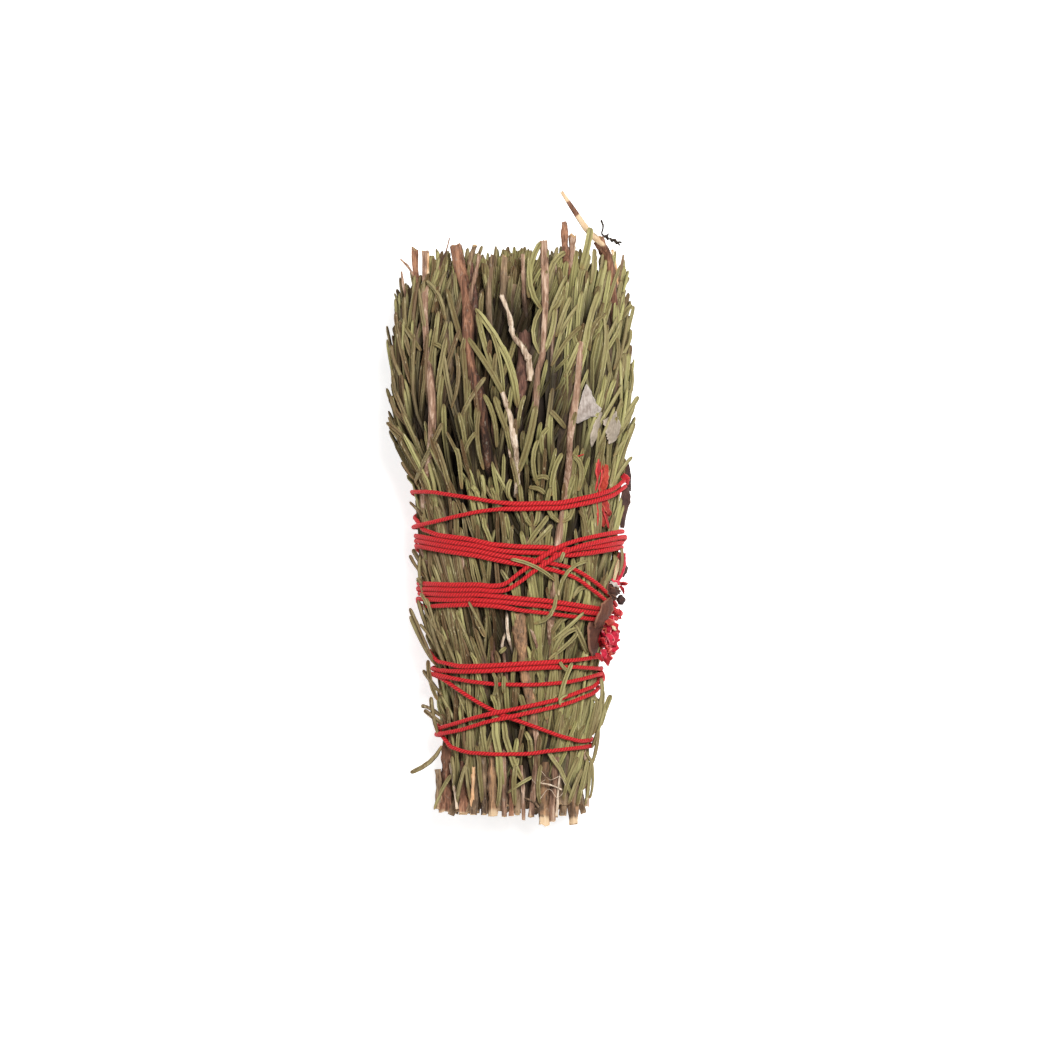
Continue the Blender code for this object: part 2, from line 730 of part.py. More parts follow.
def stem_inset(radius, y):
    """How deep a bare stem's middle lies, so that it passes under the thread."""
    return radius + 0.3 + 1.25 * wound(y)


def bare_stem(route, first, last, sink_first, sink_last):
    pixels = [Vector((p[0], p[1], 0.0)) for p in route]
    count = max(5, int(sum((b - a).length for a, b in zip(pixels, pixels[1:])) / 22) + 1)
    spots = curve_through(pixels, count)
    points, radii = [], []
    for k, spot in enumerate(spots):
        t = k / (count - 1)
        radius = (first + (last - first) * t) * (1.0 + 0.07 * math.sin(5.0 * k))
        _, y = from_photo(spot)
        sink = sink_first * max(0.0, 1 - 2 * t) + sink_last * max(0.0, 2 * t - 1)
        points.append(front_point(spot, stem_inset(radius, y) + sink))
        radii.append(radius)
    return points, radii


def runner(x):
    """A half stem under the bundle whose flat side lies on the surface at both ends."""
    low, high = RUNNER_ENDS
    under_from, under_to = WOUND_FROM, WOUND_TO + 1.0
    stations = [low, under_from - RUNNER_RAMP, under_from]
    stations += list(np.linspace(under_from + 16.0, under_to - 16.0, 4))
    stations += [under_to, under_to + RUNNER_RAMP, high]
    verts, middles = [], []
    half = RUNNER_WIDTH / 2
    for y in stations:
        lift = RUNNER_LIFT * min(smoothstep((y - under_from + RUNNER_RAMP) / RUNNER_RAMP),
                                 smoothstep((under_to + RUNNER_RAMP - y) / RUNNER_RAMP))
        narrow = 0.8 if y in RUNNER_ENDS else 1.0
        side = x + form_at(y)[0] * 0.6
        for across, up in RUNNER_PROFILE:
            verts.append(Vector((side + across * half * narrow, y, lift + up * RUNNER_DEPTH)))
        middles.append(Vector((side, y, lift + RUNNER_DEPTH / 2)))
    faces = []
    for k in range(len(stations) - 1):
        for s in range(6):
            e = (s + 1) % 6
            a, b = k * 6, (k + 1) * 6
            if s == 0:
                faces.append((a + s, a + e, b + e, b + s))
            else:
                faces.append((a + s, a + e, b + e))
                faces.append((a + s, b + e, b + s))
    last = (len(stations) - 1) * 6
    faces.append(tuple(range(6))[::-1])
    faces.append(tuple(last + s for s in range(6)))
    return facing_out(verts, faces), middles


# Flower and papery leaves. Laid sheets follow a route down the photograph, in pixels,
# each point sunk below the bundle's surface: then half widths, thickness, cup, colour
LAID_SHEETS = {
    "petal_folded_upper": (((597, 461, 1.0), (601, 476, 1.6), (603, 495, 2.9), (605, 512, 2.4),
                            (601, 526, 2.2)), (1.0, 1.8, 1.7, 1.8, 0.7), 0.9, 0.25, "petal_red"),
    "sepal_plate": (((600, 617, 2.9), (596, 625, 1.8), (594.5, 636, 1.2), (594.5, 647, 1.9),
                     (595, 654, 2.7)), (1.4, 2.0, 2.1, 1.5, 0.4), 0.8, 0.25, "husk_brown"),
    "leaf_papery_upper": (((589, 387, 0.5), (590, 400, 0.5), (592, 412, 0.5), (582, 426, 0.5)),
                          (0.8, 3.1, 3.6, 0.8), 0.7, 0.12, "paper_leaf"),
    "leaf_papery_lower": (((612, 419, 0.6), (614, 427, 0.6), (616, 434, 0.6), (617, 441, 0.8)),
                          (1.5, 2.1, 2.0, 1.1), 0.7, 0.12, "paper_leaf"),
    "leaf_grey_oval": (((600, 414, 2.4), (597, 424, 2.4), (594, 436, 2.0), (591, 446, 2.4)),
                       (0.5, 1.2, 1.2, 0.4), 0.7, 0.3, "paper_leaf"),
}

# Edge sheets stand at the bundle's right side: pixels, then height above the surface
EDGE_SHEETS = {
    "sheet_dark": (((626.5, 490, 21.5), (625.5, 500, 21.5), (623.5, 513, 21.5),
                    (622, 526, 21.5)), (0.9, 1.3, 1.0, 0.5), 0.8, 0.1, "petal_dark"),
    "petal_folded_lower": (((621, 553, 22), (620, 561, 22.5), (617.5, 571, 23.5),
                            (614, 580, 24.5)), (0.9, 1.3, 1.1, 0.6), 0.8, 0.3, "petal_red"),
    "petal_point": (((617, 583, 20.5), (621, 583.5, 20.6), (625, 583.7, 20.7),
                     (628, 584, 20.8)), (0.6, 0.85, 0.5, 0.12), 0.7, 0.2, "petal_red"),
    "petal_tip": (((607, 653, 23.5), (608, 658, 24.5), (609, 665, 25)), (1.2, 0.8, 0.15),
                  0.7, 0.15, "petal_red"),
}


def outward(point):
    """Direction straight away from the middle of the bundle."""
    shift, _, thick = form_at(point.y)
    return Vector((point.x - shift, 0.0, point.z - thick)).normalized()


def edge_point(spot):
    x, y = from_photo(spot)
    return Vector((x, y, spot[2]))


def sheet_on(spine, halves, thickness, cup):
    """A thin sheet along a spine, its face turned away from the bundle."""
    places = np.linspace(0.0, 1.0, len(halves))
    outs = [outward(p) for p in spine]
    sides, widths = [], []
    last = len(spine) - 1
    for k in range(last + 1):
        ahead = spine[min(k + 1, last)] - spine[max(k - 1, 0)]
        side = ahead.cross(outs[k]).normalized()
        outs[k] = side.cross(ahead).normalized()
        sides.append(side)
        widths.append(float(np.interp(k / last, places, halves)))
    return spine, sides, widths, outs, thickness, cup


def laid_spine(route):
    spots = curve_through(route, len(route) + 2)
    return [front_point(s, s[2]) for s in spots]


def edge_spine(route):
    return [edge_point(s) for s in curve_through(route, len(route) + 1)]


def bud(centre, radius, squash=0.75):
    """A small shrivelled ball."""
    rows, around = 5, 7
    verts = [centre + Vector((0.0, radius, 0.0))]
    for r in range(1, rows):
        polar = math.pi * r / rows
        for s in range(around):
            turn = 2 * math.pi * s / around
            crumple = 1.0 + 0.14 * math.sin(3 * turn + r)
            ring = radius * math.sin(polar) * crumple * squash
            verts.append(centre + Vector((ring * math.cos(turn), radius * math.cos(polar),
                                          ring * math.sin(turn))))
    verts.append(centre - Vector((0.0, radius, 0.0)))
    faces = []
    last = 1 + (rows - 2) * around
    for s in range(around):
        e = (s + 1) % around
        faces.append((0, 1 + s, 1 + e))
        for r in range(rows - 2):
            a = 1 + r * around
            b = a + around
            faces += [(a + s, b + s, b + e), (a + s, b + e, a + e)]
        faces.append((last + s, len(verts) - 1, last + e))
    return facing_out(verts, faces)


# Small balls at the right side: pixels and height, radius, colour
BUDS = {
    "husk_crumpled": ((613, 589, 27.0), 1.5, "husk_brown"),
    "bud_upper": ((624.5, 568, 18.5), 1.0, "petal_dark"),
    "bud_lower": ((621.5, 600, 22.0), 1.1, "petal_dark"),
}

BLOOM_MIDDLE = (606.0, 639.5, 21.5)
BLOOM_HEART = 3.1
BLOOM_HALF = 8.5
BLOOM_PETALS = 7
BLOOM_PETAL_LENGTH = 3.0
BLOOM_PETAL_WIDTH = 2.4
BLOOM_PETAL_FORM = (0.5, 0.9, 0.95, 0.4)
BLOOM_PETAL_STATIONS = (0.4, 0.75, 1.0)
BLOOM_PETAL_CURL = 0.7


def bloom():
    """Crimson crumpled petals in a row down the side, round a small heart."""
    draw = random.Random(7)
    shapes = [bud(edge_point(BLOOM_MIDDLE), BLOOM_HEART, 0.5)]
    for k in range(BLOOM_PETALS):
        t = 2.0 * k / (BLOOM_PETALS - 1) - 1.0
        root = edge_point((BLOOM_MIDDLE[0], BLOOM_MIDDLE[1] + BLOOM_HALF * t,
                           BLOOM_MIDDLE[2] + 0.9 * math.cos(3.1 * k)))
        ahead = Vector((1.0, 0.25 - 0.6 * t, 0.55 * math.cos(2.3 * k))).normalized()
        side = ahead.cross(outward(root) + Vector((0.0, 0.3, 0.9))).normalized()
        up = side.cross(ahead).normalized()
        length = BLOOM_PETAL_LENGTH * draw.uniform(0.75, 1.0)
        spine = [root - ahead * 0.4]
        spine += [root + ahead * (length * s) + up * (BLOOM_PETAL_CURL * s * s)
                  for s in BLOOM_PETAL_STATIONS]
        halves = [BLOOM_PETAL_WIDTH * w / 2 for w in BLOOM_PETAL_FORM]
        shapes.append(ribbon(spine, [side] * 4, halves, [up] * 4, 0.65, 0.3, 2))
    return shapes


def build():
    clear_scene()
    keepouts = Keepouts()

    route = thread_route()
    keepouts.along(route, THREAD_DIAMETER / 2)
    shape = tube(route, [THREAD_DIAMETER / 2] * len(route), THREAD_SIDES)
    finish("thread", facing_out(*shape), "cotton_red", 80.0)

    for name, values in BARE_STEMS.items():
        points, radii = bare_stem(*values)
        keepouts.along(points, max(radii))
        finish(name, facing_out(*tube(points, radii, STEM_SIDES)),
               STEM_COLOURS.get(name, "bark"))

    for number, x in enumerate(RUNNER_PLACES, 1):
        shape, middles = runner(x)
        keepouts.along(middles, RUNNER_CLEAR)
        finish(f"stem_under_{number}", shape, "bark")

    sheets = [(n, laid_spine(v[0]), *v[1:]) for n, v in LAID_SHEETS.items()]
    sheets += [(n, edge_spine(v[0]), *v[1:]) for n, v in EDGE_SHEETS.items()]
    for name, spine, halves, thickness, cup, colour in sheets:
        sheet = sheet_on(spine, halves, thickness, cup)
        _, sides, widths, outs, _, _ = sheet
        for across in (-0.8, 0.0, 0.8):
            line = [p + s * (w * across) + o * (cup * w * (1 - across * across))
                    for p, s, w, o in zip(spine, sides, widths, outs)]
            keepouts.along(line, SHEET_CLEAR)
        finish(name, ribbon(*sheet), colour)

    for name, (spot, radius, colour) in BUDS.items():
        centre = edge_point(spot)
        keepouts.along([centre, centre + Vector((0.0, 0.1, 0.0))], radius)
        finish(name, bud(centre, radius), colour)

    union("bloom", bloom(), "petal_red")
    x, y, z = BLOOM_MIDDLE
    keepouts.along([edge_point((x + 3, y - BLOOM_HALF, z)), edge_point((x + 3, y + BLOOM_HALF, z))],
                   BLOOM_CLEAR)

    keepouts.close()
    for number in range(OUTER_SPRIGS):
        union(f"sprig_outer_{number + 1:02d}", outer_sprig(number, keepouts), "leaf_green")
    for number in range(MIDDLE_SPRIGS):
        union(f"sprig_inner_{number + 1}", inner_sprig(number), "leaf_brown")
    union("sprig_centre", centre_sprig(), "leaf_brown")


build()
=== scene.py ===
import math
import random

import bmesh
import bpy
import numpy as np
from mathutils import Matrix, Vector
from mathutils.kdtree import KDTree


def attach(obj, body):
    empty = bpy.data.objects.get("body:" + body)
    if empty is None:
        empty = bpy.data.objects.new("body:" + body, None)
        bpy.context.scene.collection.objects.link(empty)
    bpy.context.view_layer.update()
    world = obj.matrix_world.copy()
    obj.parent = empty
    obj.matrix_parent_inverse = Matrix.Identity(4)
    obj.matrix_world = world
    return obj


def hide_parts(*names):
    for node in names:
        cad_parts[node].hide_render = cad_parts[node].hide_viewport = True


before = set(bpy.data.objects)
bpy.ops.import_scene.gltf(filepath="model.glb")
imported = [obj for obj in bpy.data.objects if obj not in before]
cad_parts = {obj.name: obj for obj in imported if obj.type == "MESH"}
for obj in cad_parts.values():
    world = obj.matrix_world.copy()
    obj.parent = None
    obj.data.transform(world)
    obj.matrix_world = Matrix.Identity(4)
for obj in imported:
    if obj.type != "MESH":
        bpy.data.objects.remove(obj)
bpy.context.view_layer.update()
print("packed model loaded")

# Lengths are in millimetres until a mesh is made
mm = 0.001
tableGap = 0.03                   # least height of a point above the table

# The photograph: its side and the bundle's origin in pixels, and the length a pixel shows
photo = {"side": 1048, "middle": (512.0, 511.0), "pixel": 0.24}

# The bundle's form: place along it, side shift and half width, as the solids have it
bundle = {
    "form": np.array((
        (-75.0, 0.7, 18.4), (-60.0, 1.0, 18.4), (-50.0, 1.1, 19.3), (-36.0, 1.2, 21.0),
        (-21.0, 1.6, 24.4), (-9.0, 1.7, 25.2), (5.0, 1.7, 25.9), (14.0, 0.4, 28.0),
        (24.0, 0.1, 29.7), (39.0, -0.1, 28.9), (63.0, 0.5, 27.0),
    )),
    "averaged": np.array((-4.0, -2.0, 0.0, 2.0, 4.0)),    # the form is evened out over these
    "thickness": 0.8,             # of the width
    "wound": (-62.0, 9.0),        # where thread goes round it
    "woundFade": 5.0,
    "wave": (0.09, 19.0, 0.6),    # how its sprigs snake: angle, length and start
    "lean": 0.0018,
    "top": 62.0,                  # leaves end about here
    "nearTop": 50.0,
    "sprigs": 12,
    "innerSprigs": 6,
}

camera = {"distance": 2000.0, "seenAt": 22.0, "sensor": 36.0}

stageLook = {
    "floorSide": 3.0,
    "floorColour": (0.94, 0.94, 0.94, 1.0),
    "floorGlow": 0.6,
    "floorDrop": 0.0001,
    "sky": 0.45,
    # place, size and power of each soft lamp, in metres and watts
    "lamps": (((0.22, 0.28, 1.1), 0.30, 14.0), ((-0.6, 0.1, 1.0), 0.8, 1.5)),
}


def formAt(y):
    # side shift, half width and half thickness of the bundle at places along it
    near = np.asarray(y, float)[..., None] + bundle["averaged"]
    rows = bundle["form"]
    shift = np.interp(near, rows[:, 0], rows[:, 1]).mean(axis=-1)
    half = np.interp(near, rows[:, 0], rows[:, 2]).mean(axis=-1)
    return shift, half, half * bundle["thickness"]


def onBundle(angle, inset, y):
    # the point so far below the bundle's surface, at an angle round it
    shift, half, thick = formAt(y)
    return np.stack((shift + (half - inset) * np.cos(angle), y + 0 * angle,
                     thick + (thick - inset) * np.sin(angle)), axis=-1)


def fromPhoto(pixel):
    middle = photo["middle"]
    return (pixel[0] - middle[0]) * photo["pixel"], (middle[1] - pixel[1]) * photo["pixel"]


def frontPoint(pixel, inset, widest=0.985):
    # the point on the front that the photograph shows at a pixel, or out beyond its edge
    x, y = fromPhoto(pixel)
    shift, half, thick = formAt(min(y, bundle["top"]))
    across = max(-widest, min(widest, (x - shift) / (half - inset)))
    return np.array((x, y, thick + (thick - inset) * math.sqrt(1 - across * across)))


def outward(points):
    # directions straight away from the middle of the bundle
    shift, half, thick = formAt(points[..., 1])
    out = np.stack(((points[..., 0] - shift) * bundle["thickness"], 0 * shift,
                    (points[..., 2] - thick) / bundle["thickness"]), axis=-1)
    return out / np.maximum(np.linalg.norm(out, axis=-1, keepdims=True), 1e-6)


def insetOf(points):
    # how far points lie below the bundle's surface
    shift, half, thick = formAt(points[..., 1])
    reach = np.hypot((points[..., 0] - shift) / half, (points[..., 2] - thick) / thick)
    return (1 - reach) * thick


def smoothstep(t):
    t = np.clip(t, 0.0, 1.0)
    return t * t * (3.0 - 2.0 * t)


def wound(y):
    # 1 where thread goes round the bundle, 0 beyond
    low, high = bundle["wound"]
    fade = bundle["woundFade"]
    return smoothstep((y - low + fade) / fade) * smoothstep((high + fade - y) / fade)


def beneath(angle):
    # 1 under the bundle, 0 at its sides and front
    return smoothstep((-np.sin(angle) - 0.55) / 0.4)


def unit(vectors):
    return vectors / np.linalg.norm(vectors, axis=-1, keepdims=True)


def evened(values, weights):
    return np.convolve(np.pad(values, len(weights) // 2, "edge"), weights, "valid")


def bowed(first, middle, last, t):
    # a curve from first to last that is pulled towards middle
    return first * (1 - t) ** 2 + 2 * middle * t * (1 - t) + last * t ** 2


def treeOf(points):
    tree = KDTree(len(points))
    for k, point in enumerate(points):
        tree.insert(point, k)
    tree.balance()
    return tree


curveSteps = 12                   # between two of the points that a curve goes through


def curveThrough(points, count):
    # evenly spaced points of a smooth curve through the given ones
    points = np.array(points, float)
    padded = np.vstack((2 * points[0] - points[1], points, 2 * points[-1] - points[-2]))
    dense = []
    for k in range(1, len(padded) - 2):
        a, b, c, d = padded[k - 1:k + 3]
        for t in np.arange(curveSteps) / curveSteps:
            dense.append(0.5 * (2 * b + (c - a) * t + (2 * a - 5 * b + 4 * c - d) * t * t
                                + (3 * b - a - 3 * c + d) * t ** 3))
    dense = np.array(dense + [points[-1]])
    lengths = np.concatenate(((0.0,), np.cumsum(np.linalg.norm(np.diff(dense, axis=0), axis=1))))
    if np.isscalar(count):
        count = np.linspace(0.0, 1.0, count)
    return np.stack([np.interp(count * lengths[-1], lengths, dense[:, i])
                     for i in range(points.shape[1])], axis=-1)


# Finishes

class Wire:                                   # a socket that sums can be written with
    def __init__(self, finish, socket):
        self.finish = finish
        self.socket = socket

    def __add__(self, other):
        return self.finish.maths("ADD", self, other)

    def __sub__(self, other):
        return self.finish.maths("SUBTRACT", self, other)

    def __rsub__(self, other):
        return self.finish.maths("SUBTRACT", other, self)

    def __mul__(self, other):
        return self.finish.maths("MULTIPLY", self, other)

    __radd__ = __add__
    __rmul__ = __mul__


class Finish:                                 # a material and the nodes that make it
    def __init__(self, name, roughness=0.7):
        self.material = bpy.data.materials.new(name)
        self.material.use_nodes = True
        self.tree = self.material.node_tree
        self.shader = self.tree.nodes["Principled BSDF"]
        self.set("Roughness", roughness)
        self.set("Specular IOR Level", 0.3)

    def set(self, name, value):
        self.feed(self.shader.inputs[name], value)

    def feed(self, socket, value):
        if isinstance(value, Wire):
            self.tree.links.new(value.socket, socket)
        else:
            socket.default_value = value

    def add(self, kind, settings=None, sockets=None, output=0):
        node = self.tree.nodes.new(kind)
        for name, value in (settings or {}).items():
            if name == "stops":
                ramp = node.color_ramp.elements
                for k, (place, colour) in enumerate(value):
                    stop = ramp[k] if k < 2 else ramp.new(place)
                    stop.position = place
                    stop.color = colour
            else:
                setattr(node, name, value)
        for name, value in (sockets or {}).items():
            self.feed(node.inputs[name], value)
        return Wire(self, node.outputs[output])

    def maths(self, operation, first, second=0.0):
        return self.add("ShaderNodeMath", {"operation": operation}, {0: first, 1: second})

    def mix(self, factor, first, second):
        return self.add("ShaderNodeMix", {"data_type": "RGBA"},
                        {0: factor, 6: first, 7: second}, 2)

    def ramp(self, factor, stops):
        return self.add("ShaderNodeValToRGB", {"stops": stops}, {0: factor})

    def step(self, value, low, high):         # 0 below low, 1 above high
        return self.add("ShaderNodeMapRange", {"interpolation_type": "SMOOTHSTEP"},
                        {0: value, 1: low, 2: high})

    def grain(self):                          # the four values that the mesh carries
        whole = self.add("ShaderNodeAttribute", {"attribute_name": "grain"})
        split = self.add("ShaderNodeSeparateColor", None, {0: whole})
        values = [Wire(self, split.socket.node.outputs[k]) for k in range(3)]
        return values + [Wire(self, whole.socket.node.outputs["Alpha"])]

    def cloud(self, size, stretch=1.0, detail=3.0, sharp=0.55, start=0.0):
        # noise with patches so many millimetres wide, stretched along the bundle
        place = self.add("ShaderNodeTexCoord", None, None, 3)
        mapped = self.add("ShaderNodeMapping", None,
                          {0: place, 1: (start, start, start), 3: (1.0, 1.0 / stretch, 1.0)})
        return self.add("ShaderNodeTexNoise", None,
                        {"Vector": mapped, "Scale": 1000.0 / size, "Detail": detail,
                         "Roughness": sharp})

    def bump(self, height, depth, strength=1.0):
        made = self.add("ShaderNodeBump", None,
                        {"Strength": strength, "Distance": depth * mm, "Height": height})
        self.set("Normal", made)


def tone(red, green, blue):
    # a colour as the eye names it, 0 to 255, as the amounts of light that nodes take
    parts = [v / 255.0 for v in (red, green, blue)]
    return (*[p / 12.92 if p < 0.04045 else ((p + 0.055) / 1.055) ** 2.4 for p in parts], 1.0)


leafLook = {
    "brown": tone(100, 75, 48),
    "grey": tone(124, 109, 72),
    "olive": tone(142, 132, 86),
    "fresh": tone(164, 158, 102),
    # edge: pale rolled margin, partly the pale underside and partly a painted highlight
    "edge": tone(224, 213, 178),
    # groove: painted shade along the middle crease
    "groove": tone(70, 53, 28),
    "root": tone(158, 128, 86),
    "speck": tone(222, 210, 174),
    # deep: the colour of painted shade
    "deep": tone(33, 22, 8),
}


def leafFinish():
    # grain is tint, along, how near the edge, and how deep in the shade
    look = Finish("dried leaf", 0.6)
    tint, along, across, depth = look.grain()
    patch = look.cloud(2.4, 5.0, 4.0)
    fine = look.cloud(0.42, 7.0, 4.0, 0.65, 0.3)
    base = look.ramp(tint + (patch - 0.5) * 0.9 + (fine - 0.5) * 0.5,
                     ((0.0, leafLook["brown"]), (1.0, leafLook["fresh"]),
                      (0.32, leafLook["grey"]), (0.62, leafLook["olive"])))
    # the rolled edges paler: partly the pale underside curling over, partly a painted highlight
    rolledEdgeAndHighlight = look.mix(look.step(across, 0.55, 0.95) * (0.3 + patch * 0.9), base, leafLook["edge"])
    # painted shade: a darker line down each leaf's groove
    grooveShaded = look.mix((1 - look.step(across, 0.05, 0.5)) * (0.1 + fine * 0.8), rolledEdgeAndHighlight,
                       leafLook["groove"])
    rooted = look.mix((1 - look.step(along, 0.0, 0.16)) * 0.6, grooveShaded, leafLook["root"])
    tipped = look.mix(look.step(along, 0.93, 1.0) * 0.45, rooted, leafLook["brown"])
    speckled = look.mix(look.step(fine, 0.58, 0.72) * 0.5, tipped, leafLook["speck"])
    # painted shade: leaves deep in the bundle, and leaf undersides, are mixed towards a near black
    # brown
    look.set("Base Color", look.mix(depth * 0.94, speckled, leafLook["deep"]))
    look.set("Roughness", 0.5 + fine * 0.3)
    look.bump(fine + patch * 0.5, 0.12, 0.7)
    return look.material


barkLook = {
    "lichen": tone(150, 140, 125),
    "wornDark": tone(186, 146, 104),
    "wornLight": tone(236, 214, 180),
    "ringDarker": (60, 66, 66),
    # deep: the colour of painted shade
    "deep": tone(28, 20, 14),
}


def barkFinish(name, dark, middle, light, wood=(226, 190, 142), grained=True):
    # grain is tint, how far it is worn pale, 1 on a cut end, and how much painted shade darkens it
    look = Finish(name, 0.8)
    tint, worn, cut, depth = look.grain() if grained else (0.5, 0.0, 0.0, 0.0)
    fibre = look.cloud(0.5, 14.0, 5.0, 0.65)
    patch = look.cloud(2.6, 3.0, 4.0, start=0.6)
    scab = look.cloud(0.9, 1.6, 4.0, 0.7, 0.2)
    base = look.ramp((fibre - 0.5) * 1.7 + (patch - 0.5) * 1.2 + tint * 0.5 + 0.22,
                     ((0.12, tone(*dark)), (0.85, tone(*light)), (0.5, tone(*middle))))
    grey = look.mix(look.step(scab, 0.56, 0.7) * 0.5, base, barkLook["lichen"])
    bare = look.mix(look.step(worn + (patch - 0.5) * 0.6, 0.35, 0.7), grey,
                    look.mix(fibre, barkLook["wornDark"], barkLook["wornLight"]))
    ring = look.cloud(0.35, 1.0, 3.0, 0.6, 0.8)
    darkWood = [part - less for part, less in zip(wood, barkLook["ringDarker"])]
    ended = look.mix(look.step(cut, 0.4, 0.6), bare, look.mix(ring, tone(*wood), tone(*darkWood)))
    # painted shade: twigs deep among the leaves are mixed towards a near black brown
    look.set("Base Color", look.mix(depth * 0.88, ended, barkLook["deep"]))
    look.set("Roughness", 0.7 + patch * 0.2)
    look.bump(fibre + scab * 0.5, 0.3, 0.9)
    return look.material


threadLook = {
    # the thread's red, dark in the valleys between strands as painted shade and pale on their
    # crests as a painted highlight
    "strandPaintedShadeAndHighlight": ((0.0, tone(88, 1, 8)), (1.0, tone(220, 60, 60)), (0.4, tone(170, 10, 18)),
               (0.75, tone(198, 25, 32))),
    "worn": tone(188, 16, 26),
    "sheen": tone(255, 120, 120),
}


def threadFinish():
    # grain is how high on a strand; the ramp gives painted shade in the valleys between strands and
    # a painted highlight on the crests
    look = Finish("red cotton", 0.72)
    crest = look.grain()[0]
    fibre = look.cloud(0.16, 1.0, 3.0, 0.6)
    strandPaintedShadeAndHighlight = look.ramp(crest + (fibre - 0.5) * 0.5, threadLook["strandPaintedShadeAndHighlight"])
    patch = look.cloud(6.0)
    look.set("Base Color", look.mix(look.step(patch, 0.4, 0.8) * 0.35, strandPaintedShadeAndHighlight, threadLook["worn"]))
    look.shader.inputs["Sheen Weight"].default_value = 0.25
    look.shader.inputs["Sheen Tint"].default_value = threadLook["sheen"]
    look.set("Roughness", 0.62 + fibre * 0.25)
    look.bump(fibre, 0.08, 0.8)
    return look.material


def petalFinish(name, dark, middle, light, rimColourAndHighlight, shine=0.5):
    # grain is tint, along and how near the edge
    look = Finish(name, shine)
    tint, _, edge, _ = look.grain()
    vein = look.cloud(0.45, 3.5, 4.0, 0.6)
    patch = look.cloud(1.8, 1.0, 4.0, 0.6, 0.4)
    base = look.ramp(vein * 0.5 + patch * 0.5 + (tint - 0.5) * 0.5,
                     ((0.25, tone(*dark)), (0.8, tone(*light)), (0.5, tone(*middle))))
    # a paler rim along each edge: partly the edge's own colour, partly a painted highlight
    withRimColourAndHighlight = look.mix(look.step(edge + (patch - 0.5) * 0.3, 0.8, 0.97) * 0.8, base, tone(*rimColourAndHighlight))
    look.set("Base Color", withRimColourAndHighlight)
    look.set("Roughness", shine + vein * 0.25)
    look.bump(vein + patch, 0.25, 0.8)
    return look.material


finishes = {
    "leaf": leafFinish(),
    "twig": barkFinish("twig bark", (62, 46, 34), (124, 100, 76), (168, 142, 112)),
    "under": barkFinish("under bark", (62, 46, 34), (124, 100, 76), (168, 142, 112),
                        grained=False),
    # very dark bark: the own colour of small dark twigs, and on the sprig hearts partly painted
    # shade
    "core": barkFinish("dark bark", (22, 16, 12), (42, 32, 23), (66, 51, 37), (96, 78, 70)),
    "cinnamon": barkFinish("cinnamon bark", (52, 33, 24), (118, 80, 60), (168, 122, 94)),
    "dark": barkFinish("dark red bark", (50, 30, 24), (112, 76, 62), (150, 112, 92)),
    "pale": barkFinish("pale bark", (128, 102, 82), (200, 178, 154), (234, 220, 202)),
    "jointed": barkFinish("pinkish grey bark", (80, 56, 42), (148, 114, 92), (206, 178, 154)),
    "wide": barkFinish("split bark", (84, 66, 50), (146, 112, 84), (198, 154, 112)),
    "straw": barkFinish("split wood", (176, 124, 84), (226, 178, 132), (246, 222, 188)),
    "thread": threadFinish(),
    "petal": petalFinish("red petal", (84, 4, 12), (164, 16, 28), (212, 44, 50), (222, 84, 78)),
    "crimson": petalFinish("crimson petal", (112, 4, 26), (196, 22, 54), (228, 66, 92),
                           (240, 130, 136)),
    "orange": petalFinish("orange petal", (96, 16, 14), (164, 46, 36), (204, 92, 68),
                          (216, 120, 92)),
    "maroon": petalFinish("maroon petal", (26, 16, 15), (58, 36, 32), (92, 60, 50),
                          (104, 72, 60)),
    "husk": petalFinish("brown husk", (40, 21, 15), (78, 44, 32), (112, 70, 53), (146, 102, 80),
                        0.6),
    "cream": petalFinish("cream stalk", (150, 130, 96), (200, 186, 146), (226, 216, 184),
                         (214, 160, 130), 0.6),
    "paper": petalFinish("papery leaf", (122, 108, 98), (180, 168, 159), (214, 204, 196),
                         (216, 206, 198), 0.6),
    "veil": petalFinish("grey papery leaf", (104, 92, 80), (150, 137, 121), (186, 171, 153),
                        (190, 175, 158), 0.6),
}
print("finishes made")


# Shaping tools

samePlace = 0.001                 # points closer than this are at the same place


def editShape():
    bpy.ops.object.mode_set(mode="EDIT")
    bpy.ops.mesh.select_mode(type="VERT")
    bpy.ops.mesh.select_all(action="SELECT")


def faceOutward():
    bpy.ops.mesh.select_all(action="SELECT")
    bpy.ops.mesh.normals_make_consistent(inside=False)


def pick(test):
    mesh = bmesh.from_edit_mesh(bpy.context.object.data)
    for vert in mesh.verts:
        vert.select_set(test(vert.co))
    mesh.select_flush_mode()
    bmesh.update_edit_mesh(bpy.context.object.data)


def cut(place, axis):
    bpy.ops.mesh.select_all(action="SELECT")
    normal = [1.0 if axis == k else 0.0 for k in range(3)]
    bpy.ops.mesh.bisect(plane_co=[place * n for n in normal], plane_no=normal)


def push(test, move):
    pick(test)
    bpy.ops.transform.translate(value=move)


def squeeze(test, scale, centre=(0.0, 0.0, 0.0)):
    pick(test)
    bpy.ops.transform.resize(value=scale, center_override=centre)


def takeMaster():
    # keeps the shape's points, rings and faces for copying, and removes its object
    bpy.ops.object.mode_set(mode="OBJECT")
    shape = bpy.context.object
    points = np.array([v.co for v in shape.data.vertices])
    rings, ring = np.unique(np.round(points[:, 1], 4), return_inverse=True)
    master = {
        "x": points[:, 0], "y": points[:, 1], "z": points[:, 2], "rings": rings, "ring": ring,
        "faces": [tuple(p.vertices) for p in shape.data.polygons],
    }
    bpy.data.objects.remove(shape)
    return master


# The master leaf, one long and one wide: places of its cuts, then heights of its parts
leafForm = {
    "cuts": (0.06, 0.27, 0.5, 0.73, 0.91, 0.97),
    "columns": (-0.3, 0.0, 0.3),
    "rolledTo": -0.12,
    "groove": -0.36,
    "hollow": 0.2,
    "shares": ((0.0, 0.45), (0.06, 0.8), (0.91, 0.97), (0.97, 0.76), (1.0, 0.34)),
}


